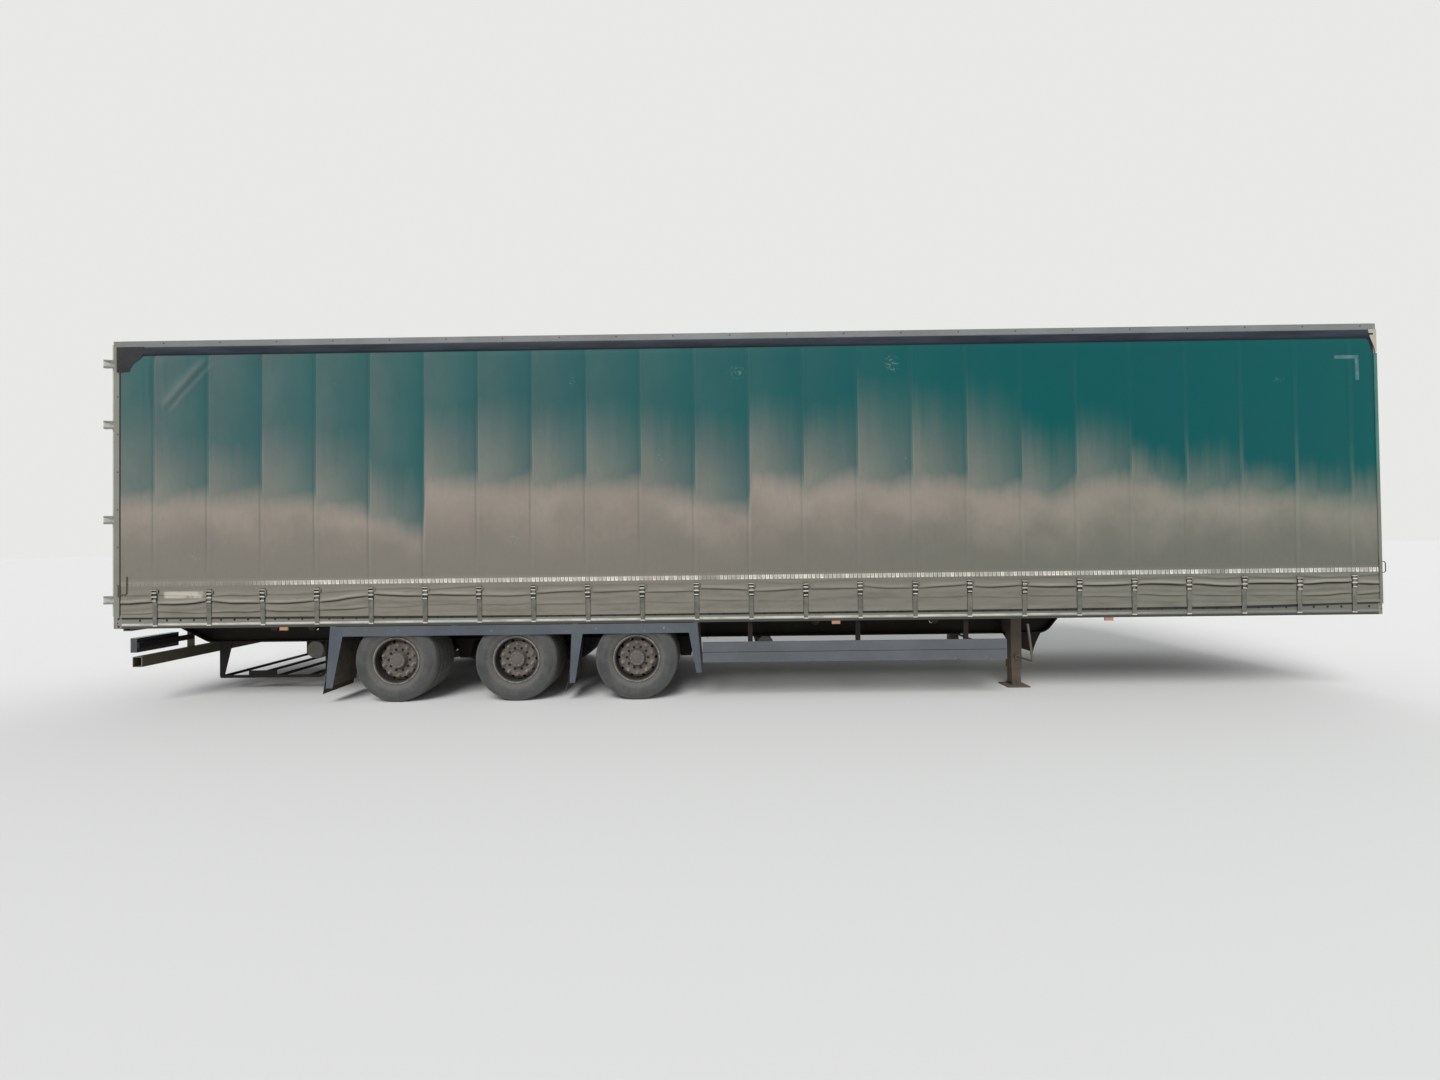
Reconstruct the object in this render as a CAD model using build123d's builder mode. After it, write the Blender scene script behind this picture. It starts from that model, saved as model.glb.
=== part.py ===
from build123d import *

import os

# A three-axle curtain-sided semi-trailer of the high-volume kind: small wide tyres, low frame, high body.
# It stands uncoupled on its tyres and its two landing legs. All sizes are in millimetres.
# +X points to the front, +Y to the trailer's left side and +Z up; the ground is z = 0.

os.makedirs("parts", exist_ok=True)


def save(piece, name):
    piece.part.label = name
    export_step(piece.part, f"parts/{name}.step")


def steps(first, last, count):
    return [first + (last - first) * i / (count - 1) for i in range(count)]


def block(x_span, y_span, z_span, mode=Mode.ADD):
    middle = [sum(span) / 2 for span in (x_span, y_span, z_span)]
    with Locations(tuple(middle)):
        Box(x_span[1] - x_span[0], y_span[1] - y_span[0], z_span[1] - z_span[0], mode=mode)


def rod(start, end, radius, mode=Mode.ADD):
    run = Vector(*end) - Vector(*start)
    with Locations(Plane(origin=start, z_dir=run)):
        Cylinder(radius, run.length, align=(Align.CENTER, Align.CENTER, Align.MIN), mode=mode)


# Overall sizes
length = 13800.0
width = 2550.0
front_x = length / 2
rear_x = -length / 2
side_y = width / 2
sides = [(1, "left"), (-1, "right")]
soft_gap = 0.3
fit_gap = 0.3

# Running gear
tyre_r = 448.0
tyre_w = 445.0
tyre_panel_gap = 10.0
track = 2040.0
axle_pitch = 1310.0
rear_overhang = 4450.0
middle_axle_x = rear_x + rear_overhang
axle_xs = [middle_axle_x - axle_pitch, middle_axle_x, middle_axle_x + axle_pitch]
axle_names = ["rear", "middle", "front"]
axle_z = tyre_r
wheel_y = track / 2

# Load floor and body frame
floor_top = 1000.0
deck_t = 28.0
deck_bottom = floor_top - deck_t
hardware_depth = 17.0
rail_y = side_y - hardware_depth
rail_bottom = 838.0
rail_wall = 6.0
rail_lip_w = 13.0
rail_shelf_w = 58.0
rail_shelf_t = 8.0
rail_inner_y = rail_y - rail_wall
frame_standoff = 2.0
post_y = rail_y - frame_standoff
post_w = 90.0
post_wall = 5.0
rear_post_depth = 90.0
front_post_depth = 80.0
front_post_round = 55.0
door_gear_depth = 100.0
rear_frame_x = rear_x + door_gear_depth
post_inner_y = post_y - post_w
roof_top = 3965.0
rail_front_x = front_x - front_post_depth
rail_rear_x = rear_frame_x + rear_post_depth

# Main beams
beam_y = 650.0
flange_w = 140.0
flange_t = 14.0
web_t = 10.0
beam_bottom = 585.0
neck_bottom = 880.0
beam_tail_z = 800.0
beam_tail_length = 420.0
neck_length = 3060.0
neck_ramp = 240.0
neck_top_x = front_x - neck_length
neck_foot_x = neck_top_x - neck_ramp
neck_radius = 200.0
pipe_hole_r = 55.0
pipe_hole_z = 760.0
pipe_holes_ahead_of_rear = [1180.0, 1630.0]
pipe_holes_ahead_of_axle = [3350.0, 4750.0]
pipe_hole_xs = [rail_rear_x + ahead for ahead in pipe_holes_ahead_of_rear]
pipe_hole_xs += [middle_axle_x + ahead for ahead in pipe_holes_ahead_of_axle]

# Landing legs: their place and section, which the gussets of the main beams reach down to
leg_setback = 3730.0
leg_x = front_x - leg_setback
leg_w = 120.0
leg_y = 800.0
gusset_heel_z = 430.0
gusset_tip_reach = 310.0
gusset_tip_z = 350.0
gusset_belly_reach = 345.0
gusset_belly_z = 455.0

# The two main beams are welded I-sections whose web steps up to the low neck over the coupling
beam_line = [
    (rail_rear_x, beam_tail_z),
    (rail_rear_x + beam_tail_length, beam_bottom),
    (neck_foot_x, beam_bottom),
    (neck_top_x, neck_bottom),
    (rail_front_x, neck_bottom),
]
with BuildPart() as main_beams:
    with BuildSketch(Plane.XZ.offset(-beam_y)) as beam_web:
        with BuildLine():
            underside = FilletPolyline(*beam_line, radius=neck_radius)
            Polyline(underside @ 1, (rail_front_x, deck_bottom), (rail_rear_x, deck_bottom), underside @ 0)
        make_face()
        with BuildLine():
            Polyline(
                (neck_foot_x, beam_bottom + 2 * flange_t),
                (leg_x - leg_w / 2, beam_bottom + flange_t),
                (leg_x + leg_w / 2, gusset_heel_z),
                (leg_x + gusset_tip_reach, gusset_tip_z),
            )
            ThreePointArc(
                (leg_x + gusset_tip_reach, gusset_tip_z),
                (leg_x + gusset_belly_reach, gusset_belly_z),
                (neck_foot_x, beam_bottom + 2 * flange_t),
            )
        make_face()
        with Locations(*[(x, pipe_hole_z) for x in pipe_hole_xs]):
            Circle(pipe_hole_r, mode=Mode.SUBTRACT)
    extrude(amount=web_t / 2, both=True)
    with BuildSketch(Plane.XZ.offset(-beam_y)) as beam_flanges:
        with BuildLine():
            underside = FilletPolyline(*beam_line, radius=neck_radius)
            Polyline(underside @ 1, (rail_front_x, deck_bottom), (rail_rear_x, deck_bottom), underside @ 0)
        make_face()
        offset(amount=-flange_t, mode=Mode.SUBTRACT)
    extrude(amount=flange_w / 2, both=True)
    mirror(about=Plane.XZ)
save(main_beams, "main_beams")

# Cross members stand between the webs; outriggers carry the floor out to the side rails
cross_bottom = neck_bottom + flange_t
cross_web_t = 6.0
cross_foot_w = 60.0
cross_foot_t = 6.0
outrigger_tip_z = 922.0
rear_bay_count = 5
front_bay_count = 13
wheel_gap_xs = [middle_axle_x + axle_pitch * k for k in (-1.5, -0.5, 0.5, 1.5)]
end_margin = 320.0
rear_bay_xs = steps(rail_rear_x + end_margin, wheel_gap_xs[0], rear_bay_count)[:-1]
front_bay_xs = steps(wheel_gap_xs[-1], rail_front_x - end_margin, front_bay_count)[1:]
outrigger_xs = rear_bay_xs + wheel_gap_xs + front_bay_xs
cross_xs = outrigger_xs + axle_xs
web_inner_y = beam_y - web_t / 2
web_outer_y = beam_y + web_t / 2
flange_inner_y = beam_y - flange_w / 2
flange_outer_y = beam_y + flange_w / 2
flange_under_z = deck_bottom - flange_t
shelf_under_z = deck_bottom - rail_shelf_t
shelf_inner_y = rail_y - rail_shelf_w
outrigger_slope = (outrigger_tip_z - cross_bottom) / (rail_inner_y - web_outer_y)


def outrigger_under(y):
    return cross_bottom + outrigger_slope * (y - web_outer_y)


with BuildPart() as crossmembers:
    for x in cross_xs:
        with BuildSketch(Plane.YZ.offset(x)):
            with BuildLine():
                Polyline(
                    (-web_inner_y, cross_bottom),
                    (web_inner_y, cross_bottom),
                    (web_inner_y, flange_under_z),
                    (flange_inner_y, flange_under_z),
                    (flange_inner_y, deck_bottom),
                    (-flange_inner_y, deck_bottom),
                    (-flange_inner_y, flange_under_z),
                    (-web_inner_y, flange_under_z),
                    close=True,
                )
            make_face()
        extrude(amount=cross_web_t / 2, both=True)
        block(
            (x - cross_foot_w / 2, x + cross_foot_w / 2),
            (-web_inner_y, web_inner_y),
            (cross_bottom, cross_bottom + cross_foot_t),
        )
save(crossmembers, "crossmembers")

with BuildPart() as outriggers:
    for x in outrigger_xs:
        with BuildSketch(Plane.YZ.offset(x)):
            with BuildLine():
                Polyline(
                    (web_outer_y, cross_bottom),
                    (rail_inner_y, outrigger_tip_z),
                    (rail_inner_y, shelf_under_z),
                    (shelf_inner_y, shelf_under_z),
                    (shelf_inner_y, deck_bottom),
                    (flange_outer_y, deck_bottom),
                    (flange_outer_y, flange_under_z),
                    (web_outer_y, flange_under_z),
                    close=True,
                )
            make_face()
        extrude(amount=cross_web_t / 2, both=True)
        with BuildSketch(Plane.YZ.offset(x)):
            with BuildLine():
                Polyline(
                    (flange_outer_y, outrigger_under(flange_outer_y)),
                    (rail_inner_y, outrigger_tip_z),
                    (rail_inner_y, outrigger_tip_z + cross_foot_t),
                    (flange_outer_y, outrigger_under(flange_outer_y) + cross_foot_t),
                    close=True,
                )
            make_face()
        extrude(amount=cross_foot_w / 2, both=True)
    mirror(about=Plane.XZ)
save(outriggers, "outriggers")

# Side rails: the outer sections that the floor lies on and the curtains are strapped to
with BuildPart() as side_rails:
    with BuildSketch(Plane.YZ.offset(rail_rear_x)):
        with BuildLine():
            Polyline(
                (rail_y, rail_bottom),
                (rail_y, floor_top),
                (rail_inner_y, floor_top),
                (rail_inner_y, deck_bottom),
                (shelf_inner_y, deck_bottom),
                (shelf_inner_y, shelf_under_z),
                (rail_inner_y, shelf_under_z),
                (rail_inner_y, rail_bottom + rail_wall),
                (rail_y - rail_lip_w, rail_bottom + rail_wall),
                (rail_y - rail_lip_w, rail_bottom),
                close=True,
            )
        make_face()
    extrude(amount=rail_front_x - rail_rear_x)
    mirror(about=Plane.XZ)
save(side_rails, "side_rails")

# Load floor, notched around the pillars that stand on the shelves of the side rails
pillar_count = 3
pillar_xs = steps(rail_rear_x, rail_front_x, pillar_count + 2)[1:-1]
pillar_w = 110.0
pillar_depth = 50.0
pillar_wall = 4.0
pillar_y = rail_inner_y - fit_gap
notch_gap = 1.0
with BuildPart() as floor_deck:
    block((rail_rear_x, rail_front_x), (-rail_inner_y, rail_inner_y), (deck_bottom, floor_top))
    for x in pillar_xs:
        for side, side_name in sides:
            block(
                (x - pillar_w / 2 - notch_gap, x + pillar_w / 2 + notch_gap),
                sorted((side * (pillar_y - pillar_depth - notch_gap), side * rail_inner_y)),
                (deck_bottom, floor_top),
                Mode.SUBTRACT,
            )
save(floor_deck, "floor_deck")

# End sills close the frame between the corner posts
sill_wall = 8.0
rear_sill_bottom = beam_tail_z
front_sill_depth = 66.0
with BuildPart() as end_sills:
    with BuildSketch(Plane.XZ.offset(-post_inner_y)):
        with BuildLine():
            Polyline(
                (rear_frame_x, rear_sill_bottom),
                (rail_rear_x, rear_sill_bottom),
                (rail_rear_x, floor_top),
                (rear_frame_x, floor_top),
                close=True,
            )
        make_face()
        offset(amount=-sill_wall, mode=Mode.SUBTRACT)
    extrude(amount=2 * post_inner_y)
    with BuildSketch(Plane.XZ.offset(-post_inner_y)):
        with BuildLine():
            Polyline(
                (rail_front_x, neck_bottom),
                (rail_front_x + front_sill_depth, neck_bottom),
                (rail_front_x + front_sill_depth, floor_top),
                (rail_front_x, floor_top),
                close=True,
            )
        make_face()
        offset(amount=-sill_wall, mode=Mode.SUBTRACT)
    extrude(amount=2 * post_inner_y)
save(end_sills, "end_sills")

# Coupling plate under the neck and the kingpin through it
kingpin_setback = 1600.0
kingpin_x = front_x - kingpin_setback
plate_t = 10.0
plate_bottom = neck_bottom - plate_t
plate_setback = 2750.0
plate_rear_x = front_x - plate_setback
plate_front_gap = 60.0
plate_half_w = 640.0
pin_hole_gap = 0.2
pin_collar_r = 36.5
pin_neck_r = 25.4
pin_head_r = 35.75
pin_collar_h = 35.0
pin_neck_h = 35.0
pin_head_h = 14.0
pin_flange_r = 110.0
pin_flange_h = 12.0
with BuildPart() as kingpin_plate:
    block(
        (plate_rear_x, rail_front_x - plate_front_gap),
        (-plate_half_w, plate_half_w),
        (plate_bottom, neck_bottom),
    )
    rod((kingpin_x, 0, plate_bottom), (kingpin_x, 0, neck_bottom), pin_collar_r + pin_hole_gap, Mode.SUBTRACT)
save(kingpin_plate, "kingpin_plate")

with BuildPart() as kingpin:
    neck_top = plate_bottom - pin_collar_h
    head_top = neck_top - pin_neck_h
    with BuildSketch(Plane.XZ):
        with BuildLine():
            Polyline(
                (kingpin_x, head_top - pin_head_h),
                (kingpin_x + pin_head_r, head_top - pin_head_h),
                (kingpin_x + pin_head_r, head_top),
                (kingpin_x + pin_neck_r, head_top),
                (kingpin_x + pin_neck_r, neck_top),
                (kingpin_x + pin_collar_r, neck_top),
                (kingpin_x + pin_collar_r, neck_bottom),
                (kingpin_x + pin_flange_r, neck_bottom),
                (kingpin_x + pin_flange_r, neck_bottom + pin_flange_h),
                (kingpin_x, neck_bottom + pin_flange_h),
                close=True,
            )
        make_face()
    revolve(axis=Axis((kingpin_x, 0, 0), (0, 0, 1)))
save(kingpin, "kingpin")

# Rear door hinges: fixed lugs and pins on the rear posts, strap arms on the doors between them
hinge_zs = [1150.0, 2020.0, 3055.0, 3720.0]
knuckle_r = 14.0
hinge_x = rear_x + knuckle_r
hinge_y = post_y + 4.0
hinge_pin_r = 8.0
arm_h = 50.0
lug_h = 18.0
lug_gap = 1.0
lug_root = 10.0
door_t = 25.0
door_seal_gap = 5.0
door_inner_x = rear_frame_x - door_seal_gap
door_outer_x = door_inner_x - door_t
door_edge_gap = 20.0
door_centre_gap = 6.0
door_bottom = 968.0
door_top = 3935.0
strap_arm_t = 8.0
strap_arm_reach = 120.0

# Corner posts, square at the rear and rounded at the front
with BuildPart() as corner_posts:
    with BuildSketch(Plane.XY.offset(rail_bottom)):
        with Locations(((rear_frame_x + rail_rear_x) / 2, (post_y + post_inner_y) / 2)):
            Rectangle(rear_post_depth, post_w)
        offset(amount=-post_wall, mode=Mode.SUBTRACT)
    extrude(amount=roof_top - rail_bottom)
    with BuildSketch(Plane.XY.offset(rail_bottom)) as front_post:
        with Locations(((front_x + rail_front_x) / 2, (post_y + post_inner_y) / 2)):
            Rectangle(front_post_depth, post_w)
        fillet(front_post.vertices().group_by(Axis.X)[-1].sort_by(Axis.Y)[-1], front_post_round)
        offset(amount=-post_wall, mode=Mode.SUBTRACT)
    extrude(amount=roof_top - rail_bottom)
    for z in hinge_zs:
        for lug_z in (z - arm_h / 2 - lug_gap - lug_h, z + arm_h / 2 + lug_gap):
            with BuildSketch(Plane.XY.offset(lug_z)):
                with Locations((hinge_x, hinge_y)):
                    Circle(knuckle_r)
                with Locations((rear_frame_x - lug_root / 2, post_y - lug_root / 2)):
                    Rectangle(lug_root, lug_root)
                make_hull()
            extrude(amount=lug_h)
        pin_low_z = z - arm_h / 2 - lug_gap
        pin_top_z = z + arm_h / 2 + lug_gap
        rod((hinge_x, hinge_y, pin_low_z), (hinge_x, hinge_y, pin_top_z), hinge_pin_r)
    mirror(about=Plane.XZ)
save(corner_posts, "corner_posts")

# Header over the doors, between the rear posts
header_h = 110.0
with BuildPart() as rear_header:
    with BuildSketch(Plane.XZ.offset(-post_inner_y)):
        with Locations(((rear_frame_x + rail_rear_x) / 2, roof_top - header_h / 2)):
            Rectangle(rear_post_depth, header_h)
        offset(amount=-post_wall, mode=Mode.SUBTRACT)
    extrude(amount=2 * post_inner_y)
save(rear_header, "rear_header")

# Front wall: a ribbed panel standing on the front sill between the rounded posts
front_wall_t = 35.0
front_rib_depth = 6.0
front_rib_w = 60.0
front_rib_count = 9
with BuildPart() as front_wall:
    block((rail_front_x, rail_front_x + front_wall_t), (-post_inner_y, post_inner_y), (floor_top, roof_top))
    for y in steps(-post_inner_y + post_w, post_inner_y - post_w, front_rib_count):
        block(
            (rail_front_x + front_wall_t, rail_front_x + front_wall_t + front_rib_depth),
            (y - front_rib_w / 2, y + front_rib_w / 2),
            (floor_top, roof_top),
        )
save(front_wall, "front_wall")

# Roof: side rails with a runner channel, bows across, and the thin sheet that lies on the bows
roof_rail_bottom = 3800.0
roof_rail_depth = 106.0
roof_rail_step_z = 3900.0
roof_rail_chamfer = 24.0
roof_rail_inner_y = rail_y - roof_rail_depth
runner_slot_w = 16.0
roof_bow_count = 21
roof_bow_w = 40.0
roof_bow_t = 25.0
roof_bow_rise = 10.0
roof_edge_z = 3930.0
roof_sheet_t = 3.0
with BuildPart() as roof_rails:
    with BuildSketch(Plane.YZ.offset(rail_rear_x)):
        with BuildLine():
            Polyline(
                (roof_rail_inner_y, roof_rail_bottom),
                (post_y, roof_rail_bottom),
                (post_y, roof_rail_step_z),
                (rail_y, roof_rail_step_z),
                (rail_y, roof_top),
                (roof_rail_inner_y + roof_rail_chamfer, roof_top),
                (roof_rail_inner_y, roof_top - roof_rail_chamfer),
                close=True,
            )
        make_face()
        offset(amount=-post_wall, mode=Mode.SUBTRACT)
        with Locations(((roof_rail_inner_y + post_y) / 2, roof_rail_bottom)):
            Rectangle(runner_slot_w, 3 * post_wall, mode=Mode.SUBTRACT)
    extrude(amount=rail_front_x - rail_rear_x)
    mirror(about=Plane.XZ)
save(roof_rails, "roof_rails")

bow_margin = 300.0
bow_xs = steps(rail_rear_x + bow_margin, rail_front_x - bow_margin, roof_bow_count)
bow_end_y = roof_rail_inner_y - fit_gap
with BuildPart() as roof_bows:
    for x in bow_xs:
        with BuildSketch(Plane.YZ.offset(x)):
            with BuildLine():
                crown = ThreePointArc(
                    (-bow_end_y, roof_edge_z),
                    (0, roof_edge_z + roof_bow_rise),
                    (bow_end_y, roof_edge_z),
                )
                belly = ThreePointArc(
                    (-bow_end_y, roof_edge_z - roof_bow_t),
                    (0, roof_edge_z + roof_bow_rise - roof_bow_t),
                    (bow_end_y, roof_edge_z - roof_bow_t),
                )
                Line(crown @ 0, belly @ 0)
                Line(crown @ 1, belly @ 1)
            make_face()
        extrude(amount=roof_bow_w / 2, both=True)
save(roof_bows, "roof_bows")

with BuildPart() as roof_sheet:
    with BuildSketch(Plane.YZ.offset(rail_rear_x + soft_gap)):
        with BuildLine():
            low = roof_edge_z + soft_gap
            under = ThreePointArc((-bow_end_y, low), (0, low + roof_bow_rise), (bow_end_y, low))
            over = ThreePointArc(
                (-bow_end_y, low + roof_sheet_t),
                (0, low + roof_bow_rise + roof_sheet_t),
                (bow_end_y, low + roof_sheet_t),
            )
            Line(under @ 0, over @ 0)
            Line(under @ 1, over @ 1)
        make_face()
    extrude(amount=rail_front_x - rail_rear_x - 2 * soft_gap)
save(roof_sheet, "roof_sheet")

# Pillars behind the curtains, from the side rails to the roof rails
with BuildPart() as side_pillars:
    for x in pillar_xs:
        with BuildSketch(Plane.XY.offset(deck_bottom)):
            with Locations((x, pillar_y - pillar_depth / 2)):
                Rectangle(pillar_w, pillar_depth)
            offset(amount=-pillar_wall, mode=Mode.SUBTRACT)
        extrude(amount=roof_rail_bottom - deck_bottom)
    mirror(about=Plane.XZ)
save(side_pillars, "side_pillars")

# Side curtains: thin sheets hung outside the rails, with the tension straps over their lower edge
curtain_t = 3.0
curtain_y = rail_y + soft_gap
curtain_bottom = 940.0
curtain_top = 3895.0
curtain_lap = 8.0
curtain_rear_x = rail_rear_x - curtain_lap
curtain_front_x = rail_front_x + curtain_lap
for side, side_name in sides:
    with BuildPart() as curtain:
        near, far = sorted((side * curtain_y, side * (curtain_y + curtain_t)))
        block((curtain_rear_x, curtain_front_x), (near, far), (curtain_bottom, curtain_top))
    save(curtain, f"curtain_{side_name}")

strap_count = 23
strap_rear_margin = 372.0
strap_front_margin = 260.0
strap_rear_x = rail_rear_x + strap_rear_margin
strap_front_x = rail_front_x - strap_front_margin
strap_w = 45.0
strap_t = 3.0
strap_bottom = 863.0
strap_top = 1270.0
strap_y = curtain_y + curtain_t + soft_gap
buckle_w = 52.0
buckle_h = 115.0
buckle_top = 1245.0
buckle_plate_t = 4.0
buckle_lever_top = 1222.0
buckle_lever_foot = 1158.0
buckle_y = strap_y + strap_t + soft_gap
strap_xs = steps(strap_rear_x, strap_front_x, strap_count)
with BuildPart() as curtain_straps:
    for x in strap_xs:
        block((x - strap_w / 2, x + strap_w / 2), (strap_y, strap_y + strap_t), (strap_bottom, strap_top))
    mirror(about=Plane.XZ)
save(curtain_straps, "curtain_straps")

with BuildPart() as strap_buckles:
    with BuildSketch(*[Plane.YZ.offset(x - buckle_w / 2) for x in strap_xs]):
        with BuildLine():
            Polyline(
                (buckle_y, buckle_top - buckle_h),
                (buckle_y + buckle_plate_t, buckle_top - buckle_h),
                (side_y, buckle_lever_foot),
                (side_y, buckle_lever_top),
                (buckle_y + buckle_plate_t, buckle_top),
                (buckle_y, buckle_top),
                close=True,
            )
        make_face()
    extrude(amount=buckle_w)
    mirror(about=Plane.XZ)
save(strap_buckles, "strap_buckles")

# Corner caps over the top ends of the curtains: broad ones behind, slim ones in front
cap_t = 4.0
cap_start = 43.0
# Columns: end of the cap, direction in from it, length above and below, shoulder, foot, radius of the inner edge
cap_table = [
    (rear_frame_x + cap_start, 1, 297.0, 147.0, 3853.0, 3626.0, 180.0),
    (rail_front_x + cap_start, -1, 85.0, 14.0, 3885.0, 3656.0, 500.0),
]
cap_y = curtain_y + curtain_t + soft_gap
with BuildPart() as corner_caps:
    for end_x, inward, cap_length, cap_foot_l, cap_shoulder_z, cap_low_z, cap_round in cap_table:
        with BuildSketch(Plane.XZ.offset(-cap_y)):
            with BuildLine():
                shoulder = (end_x + inward * cap_length, cap_shoulder_z)
                waist = (end_x + inward * (cap_length + cap_foot_l) / 2, (cap_shoulder_z + cap_low_z) / 2)
                foot = (end_x + inward * cap_foot_l, cap_low_z)
                Polyline(
                    foot,
                    (end_x, cap_low_z),
                    (end_x, roof_rail_step_z),
                    (end_x + inward * cap_length, roof_rail_step_z),
                    shoulder,
                )
                RadiusArc(shoulder, waist, inward * cap_round)
                RadiusArc(waist, foot, -inward * cap_round)
            make_face()
        extrude(amount=-cap_t)
    mirror(about=Plane.XZ)
save(corner_caps, "corner_caps")

# Curtain tensioners: a ratchet box at each end of a curtain, with a lever behind and a closed grip in front
ratchet_w = 24.0
ratchet_t = 12.0
ratchet_gap = 2.0
grip_r = 4.0
grip_round = 25.0
grip_y = side_y - grip_r - soft_gap
# Columns: start, bottom and top of the ratchet box, and its handle's points, forward of the box and up
tensioner_table = [
    (curtain_rear_x - ratchet_gap - ratchet_w, 1180.0, 1310.0, [(0, 1210.0), (90.0, 1210.0), (90.0, 1403.0)]),
    (curtain_front_x + ratchet_gap, 1250.0, 1425.0, [(0, 1285.0), (48.0, 1285.0), (48.0, 1403.0), (0, 1403.0)]),
]
with BuildPart() as curtain_tensioners:
    for box_x, box_bottom, box_top, handle in tensioner_table:
        root_x = box_x + ratchet_w / 2
        block((box_x, box_x + ratchet_w), (post_y, post_y + ratchet_t), (box_bottom, box_top))
        with BuildLine(Plane.XZ.offset(-grip_y)):
            FilletPolyline(*[(root_x + forward, z) for forward, z in handle], radius=grip_round)
        with BuildSketch(Plane.YZ.offset(root_x)):
            with Locations((grip_y, handle[0][1])):
                Circle(grip_r)
        sweep()
    mirror(about=Plane.XZ)
save(curtain_tensioners, "curtain_tensioners")

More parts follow.
